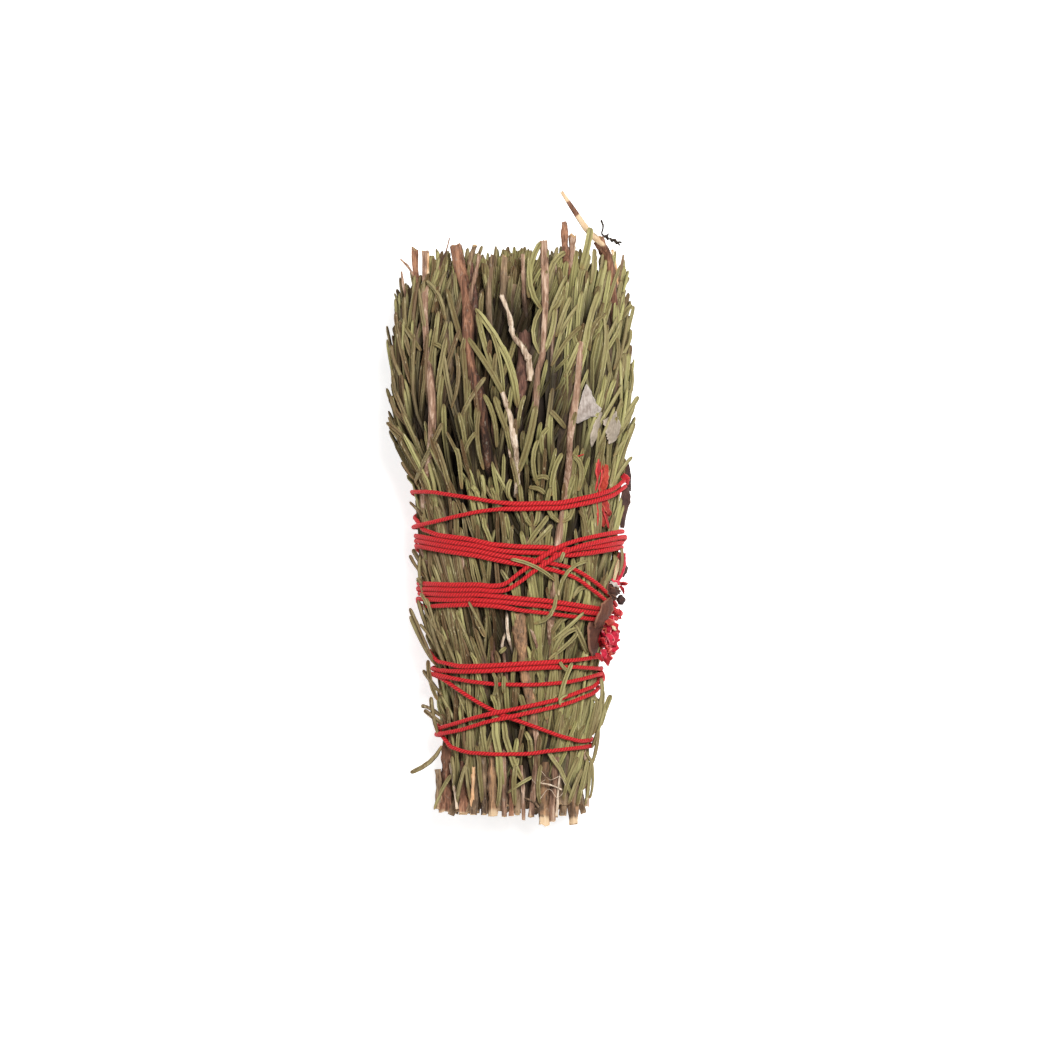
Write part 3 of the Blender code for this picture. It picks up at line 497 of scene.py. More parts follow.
def leafMaster():
    # a strap with rolled edges, a groove above, a hollow below and a blunt tip
    bpy.ops.object.select_all(action="DESELECT")
    bpy.ops.mesh.primitive_cube_add(size=1.0)
    editShape()
    bpy.ops.transform.translate(value=(0.0, 0.5, 0.0))
    for y in leafForm["cuts"]:
        cut(y, 1)
    for x in leafForm["columns"]:
        cut(x, 0)
    squeeze(lambda p: abs(p.x) > 0.4, (1.0, 1.0, 0.0), (0.0, 0.0, leafForm["rolledTo"]))
    bpy.ops.mesh.select_all(action="SELECT")
    bpy.ops.mesh.remove_doubles(threshold=samePlace)
    push(lambda p: abs(p.x) < samePlace and p.z > 0, (0.0, 0.0, leafForm["groove"]))
    push(lambda p: abs(p.x) < samePlace and p.z < 0, (0.0, 0.0, leafForm["hollow"]))
    for y, share in leafForm["shares"]:
        squeeze(lambda p: abs(p.y - y) < samePlace, (share, 1.0, share), (0.0, y, 0.0))
    faceOutward()
    return takeMaster()


barkRing = 0.28                   # width of the bark round a cut end, of the stem's radius


def stemMaster(sides, rings):
    # a stem one long and two wide, with a ring of bark round the wood of each cut end
    bpy.ops.object.select_all(action="DESELECT")
    bpy.ops.mesh.primitive_cylinder_add(vertices=sides, radius=1.0, depth=1.0,
                                        rotation=(math.pi / 2, 0.0, 0.0))
    bpy.ops.object.transform_apply(location=True, rotation=True, scale=True)
    editShape()
    bpy.ops.transform.translate(value=(0.0, 0.5, 0.0))
    for y in np.linspace(0.0, 1.0, rings + 1)[1:-1]:
        cut(float(y), 1)
    for y in (0.0, 1.0):
        bpy.ops.mesh.select_mode(type="FACE")
        mesh = bmesh.from_edit_mesh(bpy.context.object.data)
        for face in mesh.faces:
            face.select_set(all(abs(v.co.y - y) < samePlace for v in face.verts))
        bmesh.update_edit_mesh(bpy.context.object.data)
        bpy.ops.mesh.inset(thickness=barkRing, depth=0.0)
        bpy.ops.mesh.select_mode(type="VERT")
    faceOutward()
    return takeMaster()


def sheetMaster(across, along):
    # a thin sheet one wide, one long and one thick
    bpy.ops.object.select_all(action="DESELECT")
    bpy.ops.mesh.primitive_grid_add(x_subdivisions=across, y_subdivisions=along, size=1.0)
    editShape()
    bpy.ops.transform.translate(value=(0.0, 0.5, 0.5))
    bpy.ops.object.mode_set(mode="OBJECT")
    thick = bpy.context.object.modifiers.new("thickness", "SOLIDIFY")
    thick.thickness = 1.0
    thick.offset = -1.0
    bpy.ops.object.modifier_apply(modifier="thickness")
    editShape()
    faceOutward()
    return takeMaster()


def ballMaster(steps):
    bpy.ops.object.select_all(action="DESELECT")
    bpy.ops.mesh.primitive_ico_sphere_add(subdivisions=steps, radius=1.0)
    editShape()
    return takeMaster()


def bendCopies(master, routes, outs, wide, deep):
    # copies of a master laid along routes: copies x rings x 3, faces turned towards outs
    ahead = unit(np.gradient(routes, axis=1))
    side = unit(np.cross(ahead, outs))
    up = np.cross(side, ahead)
    ring = master["ring"]
    x = (master["x"] * wide[:, ring])[..., None]
    z = (master["z"] * deep[:, ring])[..., None]
    return routes[:, ring] + side[:, ring] * x + up[:, ring] * z


class Heap:                                   # shapes gathered for one piece
    def __init__(self):
        self.points = []
        self.faces = []
        self.grain = []
        self.slots = []
        self.count = 0

    def add(self, master, copies, grain, slot=0):
        for points, values in zip(copies, grain):
            self.faces += [tuple(k + self.count for k in face) for face in master["faces"]]
            self.points.append(points)
            self.grain.append(values)
            self.count += len(points)
        self.slots += [slot] * (len(master["faces"]) * len(copies))

    def piece(self, name, looks, replaced, sharp=60.0):
        mesh = bpy.data.meshes.new(name)
        points = np.concatenate(self.points) * mm
        points[:, 2] = np.maximum(points[:, 2], tableGap * mm)
        mesh.from_pydata(points.tolist(), [], self.faces)
        values = np.concatenate(self.grain).astype(np.float32)
        grain = mesh.attributes.new("grain", "FLOAT_COLOR", "POINT")
        grain.data.foreach_set("color", values.ravel())
        for look in looks:
            mesh.materials.append(finishes[look])
        mesh.polygons.foreach_set("material_index", self.slots)
        mesh.shade_smooth()
        mesh.set_sharp_from_angle(angle=math.radians(sharp))
        made = bpy.data.objects.new(name, mesh)
        bpy.context.scene.collection.objects.link(made)
        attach(made, "root")
        if replaced:
            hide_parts(*replaced)


def stage():
    bpy.ops.object.select_all(action="DESELECT")
    bpy.ops.mesh.primitive_plane_add(size=stageLook["floorSide"],
                                     location=(0.0, 0.0, -stageLook["floorDrop"]))
    floor = bpy.context.object
    floor.name = "floor"
    look = Finish("plain floor", 0.9)
    look.set("Base Color", stageLook["floorColour"])
    look.set("Emission Color", stageLook["floorColour"])
    look.set("Emission Strength", stageLook["floorGlow"])
    floor.data.materials.append(look.material)
    for number, (place, size, power) in enumerate(stageLook["lamps"]):
        light = bpy.data.lights.new(f"lamp{number}", "AREA")
        light.size = size
        light.energy = power
        lamp = bpy.data.objects.new(f"lamp{number}", light)
        lamp.location = place
        lamp.rotation_euler = Vector(place).to_track_quat("Z", "Y").to_euler()
        bpy.context.scene.collection.objects.link(lamp)
    world = bpy.data.worlds.new("studio")
    world.use_nodes = True
    world.node_tree.nodes["Background"].inputs["Strength"].default_value = stageLook["sky"]
    world.node_tree.nodes["Background"].inputs["Color"].default_value = (1.0, 1.0, 1.0, 1.0)
    bpy.context.scene.world = world
    bpy.context.scene.view_settings.view_transform = "Standard"

    seen = bpy.data.cameras.new("camera")
    frameSide = photo["side"] * photo["pixel"]
    seen.sensor_width = camera["sensor"]
    seen.lens = camera["sensor"] * (camera["distance"] - camera["seenAt"]) / frameSide
    eye = bpy.data.objects.new("camera", seen)
    x, y = fromPhoto((photo["side"] / 2, photo["side"] / 2))
    eye.location = (x * mm, y * mm, camera["distance"] * mm)
    bpy.context.scene.collection.objects.link(eye)
    bpy.context.scene.camera = eye


stage()
print("stage set")


# Thread

thread = {
    "width": 1.02,
    "inset": 0.5,                 # of its middle line below the bundle's surface
    "riseBelow": 1.15,            # how much higher it stays under the bundle
    "turnStations": 48,
    "flatter": 0.2,               # where it lies against another pass
    "twist": 2.4,                 # length of one turn of its strands
    "ringStep": 0.36,
    "sides": 9,
    "strands": 3,
    "lobe": 0.054,
    "overlap": 0.9,               # of its width between passes that cross
    "tails": (0.4, 1.4 / 3),      # how far a station's tail moves along, at each end
    "besides": (1.7, 0.4),        # passes nearer than this touch, and over how much
    "sameRun": 20,                # rings of its own line beside a ring
    "clearRun": 0.9,              # of a station's length, when passes that cross are compared
    "evenOver": 1.4,              # stations that a lift is spread over
}

# Front passes of the thread, left to right, in pixels of the photograph
threadPasses = {
    "topUpper": ((412, 492), (431, 492), (454, 495.5), (477, 499), (500, 503), (520, 504),
                 (560, 503), (575, 500), (598, 495), (614, 489), (627, 478)),
    "topLower": ((413, 528), (427, 524), (454, 517), (477, 512), (500, 509), (520, 509),
                 (560, 508), (575, 505.5), (598, 500.5), (614, 495), (627, 485)),
    "middleFirst": ((411, 513), (418, 522), (423, 529), (438, 535), (469, 539), (492, 544),
                    (520, 546.5), (546, 547), (569, 549.5), (600, 546), (621, 542.5)),
    "middleSecond": ((416, 536), (446, 541), (477, 545.5), (500, 550.5), (520, 552),
                     (546, 553), (569, 555), (592, 552.5), (621, 547.5)),
    "middleFalling": ((418, 541), (446, 546), (477, 550.5), (500, 555.5), (520, 558),
                      (547, 562), (569, 567), (584, 574), (600, 586), (611, 597), (617, 607)),
    "middleFallingLow": ((417, 546), (446, 551), (477, 555.5), (500, 560.5), (520, 564),
                         (545, 568), (566, 573), (581, 581), (596, 593), (607, 604),
                         (613, 614)),
    "risingUpper": ((419, 583.5), (454, 584.5), (477, 584), (500, 586), (508, 582),
                    (523, 569.5), (538, 559), (554, 548), (575, 540), (600, 535),
                    (621, 531.5)),
    "risingLower": ((420, 588.5), (454, 589.5), (477, 589), (500, 591), (512, 588),
                    (527, 575.5), (542, 564.5), (558, 554), (577, 546), (600, 541),
                    (621, 537)),
    "lowerFirst": ((420, 593.5), (454, 594.5), (477, 594), (500, 596), (520, 598), (545, 600),
                   (570, 603.5), (600, 608.5), (617, 613)),
    "lowerSecond": ((419, 599), (446, 599.5), (470, 599), (500, 601), (520, 603), (545, 605.5),
                    (570, 609), (600, 614), (617, 620)),
    "lowerThird": ((419, 607), (446, 605), (469, 604), (488, 604.5), (507, 607), (523, 610),
                   (546, 612.5), (569, 615.5), (590, 618.5), (614, 620)),
    "waistFirst": ((424, 646), (429, 652), (437, 661), (460, 666), (488, 665), (520, 663),
                   (551, 661.5), (576, 659.5), (604, 656)),
    "waistSecond": ((429, 668), (438, 670.5), (461, 671), (492, 670), (520, 668),
                    (551, 666.5), (576, 666.5), (604, 669)),
    "waistThird": ((430, 673), (447, 676.5), (471, 681), (496, 683.5), (530, 684),
                   (543, 683.5), (568, 681.5), (585, 678), (604, 673.5)),
    "thinFalling": ((431, 674), (442, 678), (455, 687), (472, 698), (492, 709.5), (510, 717),
                    (535, 726), (560, 735.5), (580, 741), (598, 740)),
    "buttRising": ((435, 731), (447, 726), (472, 718), (496, 712), (530, 705), (555, 699.5),
                   (568, 695.5), (593, 686.5), (602, 678)),
    "buttRisingLow": ((436, 736), (463, 729), (488, 721), (510, 716), (530, 711.5),
                      (555, 706), (570, 702), (594, 693), (602, 685)),
    "buttLast": ((435, 724.5), (441, 735), (451, 747), (467, 752), (496, 753.5), (530, 753),
                 (543, 751), (568, 748.5), (598, 746)),
}
windingOrder = (
    "topUpper", "middleFirst", "middleSecond", "middleFalling", "lowerFirst", "lowerThird",
    "waistFirst", "waistSecond", "thinFalling", "buttLast", "buttRisingLow", "waistThird",
    "buttRising", "lowerSecond", "middleFallingLow", "risingLower", "risingUpper", "topLower",
)


def passPlace(name, angle):
    # lengthwise place of a front pass at an angle round the bundle
    route = [fromPhoto(p) for p in threadPasses[name]]
    xs = [p[0] for p in route]
    ys = [p[1] for p in route]
    y = ys[len(ys) // 2]
    for _ in range(4):
        shift, half, _ = formAt(y)
        y = float(np.interp(shift + (half - thread["inset"]) * math.cos(angle), xs, ys))
    return y


def threadPlaces():
    # angle and lengthwise place of each station, with a tucked tail at both ends
    halfTurn = thread["turnStations"] // 2
    step = math.pi / halfTurn
    tail = halfTurn // 2
    start = passPlace(windingOrder[0], math.pi)
    startTail, endTail = thread["tails"]
    places = [(math.pi + k * step, start - startTail * k) for k in range(tail, 0, -1)]
    for turn, name in enumerate(windingOrder):
        top = math.pi - turn * 2 * math.pi
        for m in range(halfTurn + 1):
            places.append((top - m * step, passPlace(name, math.pi - m * step)))
        leave = places[-1][1]
        if turn + 1 < len(windingOrder):
            arrive = passPlace(windingOrder[turn + 1], math.pi)
            for m in range(1, halfTurn):
                places.append((top - math.pi - m * step,
                               leave + (arrive - leave) * m / halfTurn))
        else:
            places += [(top - math.pi - m * step, leave - endTail * m)
                       for m in range(1, tail + 1)]
    return places


def threadLifts(places):
    # how far each station rides up on the passes wound before it
    clear = thread["width"] * thread["overlap"]
    turn = thread["turnStations"]
    lifts = np.zeros(len(places))
    for late in range(len(places) - 1):
        for early in range(late - turn, -1, -turn):
            before = places[early][1] - places[late][1]
            after = places[early + 1][1] - places[late + 1][1]
            apart = 0.0 if before * after <= 0 else min(abs(before), abs(after))
            run = float(formAt(places[late][1])[1]) * 2 * math.pi / turn * thread["clearRun"]
            apart /= math.hypot(1.0, (places[late][1] - places[late + 1][1]) / run)
            if apart < clear:
                climb = math.sqrt(clear ** 2 - apart ** 2)
                for k in (0, 1):
                    lifts[late + k] = max(lifts[late + k], lifts[early + k] + climb)
    spread = np.exp(-0.5 * (np.arange(-3, 4) / thread["evenOver"]) ** 2)
    raised = np.array([max(lifts[max(0, k - 1):k + 2]) for k in range(len(lifts))])
    return evened(raised, spread / spread.sum())


def threadRoute():
    places = threadPlaces()
    angles = np.array([p[0] for p in places])
    ys = np.array([p[1] for p in places])
    inset = thread["inset"] + thread["riseBelow"] * beneath(angles) - threadLifts(places)
    return onBundle(angles, inset, ys)


def makeThread(route):
    # strands twisted together along the route, a little flatter where passes touch
    length = np.linalg.norm(np.diff(route, axis=0), axis=1).sum()
    rings = int(length / thread["ringStep"])
    line = curveThrough(route, rings)
    ahead = unit(np.gradient(line, axis=0))
    side = unit(np.cross(ahead, outward(line)))
    up = np.cross(side, ahead)
    sides = thread["sides"]
    turn = 2 * math.pi * np.arange(sides) / sides
    crest = np.cos(thread["strands"] * turn)
    radius = thread["width"] / 2 * (1 + thread["lobe"] * (crest - 1))
    twist = 2 * math.pi * np.arange(rings) * thread["ringStep"] / thread["twist"]
    angle = turn[None, :] + twist[:, None]
    spots = treeOf(line)
    touch, over = thread["besides"]
    reach = touch + 0.1
    beside = np.array([min([away for _, j, away in spots.find_range(spot, reach)
                            if abs(j - k) > thread["sameRun"]] + [reach])
                       for k, spot in enumerate(line)])
    flat = 1 + thread["flatter"] * smoothstep((touch - beside) / over)
    flat = evened(flat, np.full(9, 1 / 9))[:, None]
    points = (line[:, None] + side[:, None] * (np.cos(angle) * radius * flat)[..., None]
              + up[:, None] * (np.sin(angle) * radius)[..., None]).reshape(-1, 3)
    faces = []
    for k in range(rings - 1):
        for s in range(sides):
            e = (s + 1) % sides
            faces.append((k * sides + s, k * sides + e, (k + 1) * sides + e,
                          (k + 1) * sides + s))
    faces += [tuple(range(sides))[::-1], tuple((rings - 1) * sides + s for s in range(sides))]
    grain = np.zeros((len(points), 4))
    # how high on a strand: the finish paints shade in the valleys and a highlight on the crests
    grain[:, 0] = np.tile(crest * 0.5 + 0.5, rings)
    heap = Heap()
    heap.add({"faces": faces}, [points], [grain])
    heap.piece("threadWound", ["thread"], ["thread"], 80.0)
    print(f"thread wound, {length / 1000:.2f} m long")


threadLine = threadRoute()
makeThread(threadLine)
threadSpots = treeOf(np.concatenate((threadLine, (threadLine[1:] + threadLine[:-1]) / 2)))


# Leaves

leaf = {
    "length": (13.0, 26.0),
    "shortest": 6.0,
    "width": (0.88, 1.4),
    "depth": 0.62,                # of its width
    "perNode": (3, 6),
    "nodeStep": (5.6, 8.6),
    "rootJitter": 0.8,
    "spread": (3.0, 10.0, 26.0),  # degrees away from the shoot: least, most, and now and then
    "wideChance": 0.28,
    "bow": (0.35, 1.2),           # how much of its spread a leaf has halfway
    "middleJitter": 0.7,
    "tipDepth": (-0.2, 4.4),      # least, and how much deeper
    "tipPressed": 0.5,            # how much deeper where thread goes round
    "stray": (0.88, 6.0),         # tips of leaves that bow more than this stand out
    "widest": 31.0,
    "overTop": 2.2,
    "underTop": 9.0,
    "sway": 0.25,                 # how far a leaf snakes sideways
    "roll": (0.4, 0.5),           # chance roll, and chance twist along it
    "tint": (0.5, 0.008, 0.28),   # in the middle, more to the right, and by chance
    "shadeFrom": (0.2, 1.5),      # depth where the shade begins, and more where wound
    "shadeOver": (2.3, 0.8),      # how fast it deepens, and less where wound
    "shadeTop": (3.0, 14.0),      # no shade this near the top, and over how much
    "shadeUnder": 0.65,           # on a leaf's lower side
    "lowest": 0.55,
    "threadClear": 1.55,          # depth of a leaf's middle under the thread
    "threadReach": (1.3, 3.6),
    # hollows in the front: pixel, half sides in pixels, depth
    "hollows": (((514.0, 296.0), (31.0, 56.0), 3.6), ((519.0, 385.0), (9.0, 45.0), 2.6),
                ((487.0, 420.0), (9.0, 62.0), 2.0), ((474.0, 300.0), (8.0, 60.0), 1.6),
                ((521.0, 640.0), (8.0, 32.0), 2.6), ((528.0, 690.0), (7.5, 32.0), 2.6),
                ((532.5, 722.0), (7.5, 20.0), 2.8), ((552.0, 600.0), (5.0, 48.0), 1.2),
                ((586.0, 405.0), (8.0, 26.0), 1.0), ((595.0, 632.0), (8.0, 22.0), 1.6),
                ((556.0, 400.0), (6.0, 52.0), 1.7), ((592.0, 345.0), (6.0, 60.0), 1.7),
                ((574.0, 640.0), (5.0, 34.0), 1.2), ((540.0, 430.0), (5.0, 50.0), 1.4)),
    "hollowEdge": (1.15, 0.6),    # of a hollow's half sides: where it ends, and over how much
    # how far leaf ends stay below the top near the two sides
    "corners": ((-22.5, -4.0, 9.0), (24.0, 4.0, 5.0)),
}
leafShape = leafMaster()
twigShape = stemMaster(6, 22)
stemShape = stemMaster(14, 48)
print("leaf and stem modelled")


def threadNear(away):
    # 1 at the thread, 0 beyond its reach
    low, high = leaf["threadReach"]
    return smoothstep((high - away) / (high - low))


def pressUnderThread(angle, inset, y):
    # sinks what lies near the thread until the thread clears it
    points = onBundle(angle, inset, y)
    away = np.array([threadSpots.find(p)[2] for p in points.reshape(-1, 3)])
    wanted = leaf["threadClear"] + thread["riseBelow"] * beneath(angle)
    return inset + np.maximum(wanted - inset, 0.0) * threadNear(away.reshape(inset.shape))


def hollowAt(angle, y):
    # how far the leaves sink in the dark hollows at the front
    shift, half, _ = formAt(y)
    x = shift + half * np.cos(angle)
    edge, over = leaf["hollowEdge"]
    sunk = 0.0 * x
    for spot, (wide, tall), depth in leaf["hollows"]:
        cx, cy = fromPhoto(spot)
        away = np.hypot((x - cx) / (wide * photo["pixel"]), (y - cy) / (tall * photo["pixel"]))
        sunk = np.maximum(sunk, depth * smoothstep((edge - away) / over))
    return sunk * (np.sin(angle) > 0)


def leavesAlong(heap, draw, rows, press=True):
    # leaves from rows of (angle, inset, y) at root, middle and tip
    rows = np.array(rows)
    tints = np.array([leafTint(draw, x) for x in onBundle(*rows[:, 1].T)[:, 0]])
    widths = np.array([draw.uniform(*leaf["width"]) for _ in rows])
    path = bowed(*(rows[:, None, k] for k in range(3)), leafShape["rings"][None, :, None])
    inset = path[..., 1] + hollowAt(path[..., 0], path[..., 2])
    snake = np.array([draw.uniform(-1, 1) * leaf["sway"] for _ in widths])[:, None]
    wave = np.sin(2 * math.pi * leafShape["rings"][None])
    path[..., 0] += snake * wave / formAt(path[..., 2])[1]
    if press:
        inset = pressUnderThread(path[..., 0], inset, path[..., 2])
    routes = onBundle(path[..., 0], inset, path[..., 2])
    routes[..., 2] = np.maximum(routes[..., 2], leaf["lowest"])
    layLeaves(heap, draw, routes, widths, tints)


def paintedShadeOf(points):
    # painted shade: 0 near the bundle's surface or top end, 1 well inside it, where leaves and
    # twigs are darkened
    tied = wound(points[..., 1])
    begin, beginTied = leaf["shadeFrom"]
    over, overTied = leaf["shadeOver"]
    bare, fade = leaf["shadeTop"]
    inside = smoothstep((insetOf(points) - begin - beginTied * tied) / (over - overTied * tied))
    return inside * smoothstep((bundle["top"] - bare - points[..., 1]) / fade)


def layLeaves(heap, draw, routes, widths, tints):
    # leaves along rows of points, each rolled and twisted by chance
    outs = outward(routes)
    t = leafShape["rings"][None, :, None]
    roll, twist = (np.array([draw.gauss(0.0, most) for _ in widths])[:, None, None]
                   for most in leaf["roll"])
    roll = roll + twist * (t - 0.5)
    sideways = unit(np.cross(np.gradient(routes, axis=1), outs))
    outs = outs * np.cos(roll) + sideways * np.sin(roll)
    wide = np.repeat(widths[:, None], len(leafShape["rings"]), axis=1)
    copies = bendCopies(leafShape, routes, outs, wide, wide * leaf["depth"])
    grain = np.zeros((*copies.shape[:2], 4))
    grain[..., 0] = tints[:, None]
    grain[..., 1] = leafShape["rings"][leafShape["ring"]]
    grain[..., 2] = np.where(leafShape["z"] > -0.05, np.abs(leafShape["x"]) * 2, 0.6)
    # painted shade: leaves deep in the bundle, and every leaf's lower side, are darkened
    grain[..., 3] = np.maximum(paintedShadeOf(copies), leaf["shadeUnder"] * (leafShape["z"] < -0.2))
    heap.add(leafShape, copies, grain)


def ringWave(y):
    # how far round a sprig has snaked at places along the bundle
    angle, length, start = bundle["wave"]
    return angle * np.sin(y / length + start) - bundle["lean"] * y


def leafTint(draw, x):
    middle, across, chance = leaf["tint"]
    return min(1.0, max(0.0, middle + across * x + draw.gauss(0.0, chance)))


def shootLeaves(draw, angleAt, insetAt, lowY, highY):
    # root, middle and tip of each leaf of one shoot, in whorls up it
    low, high = leaf["length"]
    least, most, wide = leaf["spread"]
    tipLeast, tipOver = leaf["tipDepth"]
    strayFrom, stray = leaf["stray"]
    jitter = leaf["rootJitter"]
    x = onBundle(angleAt(bundle["nearTop"]), 1.0, bundle["nearTop"])[0]
    top = bundle["top"] + leaf["overTop"] - sum(
        drop * float(smoothstep((x - start) / over)) for start, over, drop in leaf["corners"])
    rows = []
    y = lowY + draw.uniform(0.0, 4.0)
    top -= 0.9 * (y - lowY)
    while y < highY:
        for _ in range(draw.randint(*leaf["perNode"])):
            rootY = y + draw.uniform(-jitter, jitter)
            limit = top - leaf["underTop"] * draw.random() ** 1.3
            length = min(draw.uniform(low, high), limit - rootY)
            if length < leaf["shortest"]:
                continue
            spread = draw.uniform(least, wide if draw.random() < leaf["wideChance"] else most)
            spread = math.radians(spread) * draw.choice((-1, 1))
            _, half, thick = formAt(rootY)
            angle = float(angleAt(rootY))
            arc = math.hypot(half * math.sin(angle), thick * math.cos(angle))
            tipY = rootY + length * math.cos(spread)
            turn = length * math.sin(spread) / arc
            drift = float(angleAt(tipY)) - angle
            rootInset = float(insetAt(rootY))
            tied = float(wound(tipY))
            tipInset = tipOver * draw.random() ** 1.2 + tipLeast + leaf["tipPressed"] * tied
            bow = draw.uniform(*leaf["bow"])
            tipInset -= stray * max(0.0, bow - strayFrom) * (1.0 - tied)
            shift, half, _ = formAt(tipY)
            tipInset = max(tipInset, float(half + abs(shift)) - leaf["widest"])
            wobble = draw.uniform(-leaf["middleJitter"], leaf["middleJitter"])
            rows.append((
                (angle, rootInset, rootY),
                (angle + drift * 0.5 + turn * bow, (rootInset + tipInset) / 2 + wobble,
                 rootY + length * 0.5),
                (angle + drift + turn, tipInset, tipY),
            ))
        y += draw.uniform(*leaf["nodeStep"])
    return rows


twig = {
    "swell": 0.12,
    "ridges": (0.09, 0.05),       # three strong ones and five faint ones
    "turns": (9.0, 14.0),         # how far the ridges wind round from end to end
    "lowest": 0.2,
    "cutEnds": (-70.0, 8.0),      # no shade below this, and over how much
}


def twigAlong(heap, draw, route, radius, tint, slot=1, shape=twigShape, worn=0.0,
              ragged=(0.0, 0.0)):
    # a thin stem with faint ridges, swollen here and there, its ends cut or ragged
    strong, faint = twig["ridges"]
    strongTurn, faintTurn = twig["turns"]
    bare, fade = twig["cutEnds"]
    rings = shape["rings"]
    line = curveThrough(route, rings)[None]
    swell = 1 + twig["swell"] * np.sin(rings * draw.uniform(9, 30) + draw.uniform(0, 6))
    wide = (np.array(radius) if np.ndim(radius) else np.full(len(rings), radius)) * swell
    copies = bendCopies(shape, line, outward(line), wide[None], wide[None])
    turn = np.arctan2(shape["z"], shape["x"])
    centre = line[:, shape["ring"]]
    along = rings[shape["ring"]]
    ridge = (strong * np.sin(3 * turn + draw.uniform(0, 6) + strongTurn * along)
             + faint * np.sin(5 * turn - faintTurn * along))
    copies = centre + (copies - centre) * (1 + ridge)[None, :, None]
    for end, near, tear in ((0, 1, ragged[0]), (len(rings) - 1, -2, ragged[1])):
        torn = shape["ring"] == end
        onward = line[0, end] - line[0, near]
        jag = 0.5 + 0.5 * np.sin(turn[torn] * 2 + draw.uniform(0, 6)) * np.sin(5 * turn[torn])
        copies[0, torn] += unit(onward) * (jag * tear)[:, None]
    copies[..., 2] = np.maximum(copies[..., 2], twig["lowest"])
    grain = np.zeros((1, len(turn), 4))
    # painted shade on twigs deep among the leaves, faded out near the cut ends
    grain[..., 3] = paintedShadeOf(copies) * smoothstep((copies[..., 1] - bare) / fade)
    grain[..., 0] = tint if np.isscalar(tint) else np.interp(shape["y"], *tint)
    grain[..., 1] = worn if np.isscalar(worn) else np.interp(shape["y"], *worn)
    grain[..., 2] = np.hypot(shape["x"], shape["z"]) < 0.9
    heap.add(shape, copies, grain, slot)


heart = {
    "low": -68.0,
    "length": 116.0,
    "girth": ((-66, -58, 6, 30, 42, 48), (0.0, 1.0, 1.0, 0.85, 0.5, 0.1)),
    "inner": 0.56,                # its inner side, as a share of the way out
    "outer": 5.6,                 # depth of its outer side
    "width": 0.75,
    "least": 0.8,
    # painted shade added over the whole heart
    "shade": 0.6,
}


def sprigHeart(heap, middle, halfAngle):
    # the woody heart of an outer sprig, near black: partly its own dark bark, partly painted shade
    # in the gaps between the leaves
    ys = heart["low"] + twigShape["rings"] * heart["length"]
    _, half, thick = formAt(ys)
    girth = np.interp(ys, *heart["girth"])
    inset = thick - (thick * heart["inner"] + thick - heart["outer"]) / 2
    line = onBundle(middle(ys), inset, ys)[None]
    wide = half * heart["width"] * halfAngle * girth
    deep = (thick * (1 - heart["inner"]) - heart["outer"]) / 2 * girth
    wide, deep = (np.maximum(side, heart["least"])[None] for side in (wide, deep))
    copies = bendCopies(twigShape, line, outward(line), wide, deep)
    grain = np.full((1, copies.shape[1], 4), (0.5, 0.0, 0.0, heart["shade"]))
    heap.add(twigShape, copies, grain, 2)


outerSprig = {
    "roots": (-70.5, 53.0),       # of its lowest and highest leaves
    "shoots": 3,
    "depth": (3.6, -0.8, 1.2),    # of a shoot, and least and most added to it
    "sway": (0.2, 0.5),
    "swayLength": 17.0,
    "dip": (0.9, 11.0),           # how deep a shoot dips now and then, and over what length
    "pressed": 0.8,               # how much deeper where thread goes round
    "butt": (-69.6, 3.4),         # lower end of a shoot's stem, and how much lower by chance
    "buttRise": (1.6, -66.0, 6.0),  # how much nearer the surface below a place, over how much
    "stemUnder": 0.5,             # depth of a shoot's stem below the roots of its leaves
    "tip": (44.0, 54.0),
    "stations": 12,
    "radius": (0.7, 1.2),
    "ragged": 1.4,
}


def makeOuterSprig(number):
    draw = random.Random(500 + number)
    heap = Heap()
    base = 2 * math.pi * number / bundle["sprigs"]
    halfAngle = math.pi / bundle["sprigs"]
    sprigHeart(heap, lambda y: base + ringWave(y), halfAngle)
    rows = []
    shoots = outerSprig["shoots"]
    usual, less, more = outerSprig["depth"]
    dip, dipLength = outerSprig["dip"]
    butt, lower = outerSprig["butt"]
    rise, riseFrom, riseOver = outerSprig["buttRise"]
    for shoot in range(shoots):
        offset = halfAngle * (2 * (shoot + 0.5) / shoots - 1)
        phase, sway = draw.uniform(0, 6), draw.uniform(*outerSprig["sway"]) * halfAngle
        depth = usual + draw.uniform(less, more)

        def angleAt(y):
            bend = sway * np.sin(y / outerSprig["swayLength"] + phase)
            return base + offset + ringWave(y) + bend

        def insetAt(y):
            return depth + dip * np.sin(y / dipLength + phase) + outerSprig["pressed"] * wound(y)

        rows += shootLeaves(draw, angleAt, insetAt, *outerSprig["roots"])
        ys = np.linspace(butt - draw.uniform(0.0, lower), draw.uniform(*outerSprig["tip"]),
                         outerSprig["stations"])
        angles = angleAt(ys)
        insets = insetAt(ys) + outerSprig["stemUnder"] + hollowAt(angles, ys)
        insets -= rise * smoothstep((riseFrom - ys) / riseOver)
        twigAlong(heap, draw, onBundle(angles, insets, ys), draw.uniform(*outerSprig["radius"]),
                  draw.random(), ragged=(draw.uniform(0.0, outerSprig["ragged"]), 0.0))
    leavesAlong(heap, draw, rows)
    name = f"sprig_outer_{number + 1:02d}"
    heap.piece(f"outerSprig{number + 1:02d}", ["leaf", "twig", "core"], [name])
    return len(rows)


count = sum(makeOuterSprig(k) for k in range(bundle["sprigs"]))
print(f"outer sprigs, {count} leaves")


innerSprig = {
    "roots": (36.0, 56.0),
    "drift": 3.0,                 # how far leaf ends lie above or below their roots, by chance
    "butt": (-69.0, 3.0),
    "tip": (50.0, 57.0),
    "stations": 9,
    "radius": (0.9, 1.5),
    "halfAngle": 0.5,
    "reaches": (0.26, 0.74),      # shares of the way out
    "shoots": 12,
    "centreReaches": (0.02, 0.22),
    "centreShoots": 5,
}


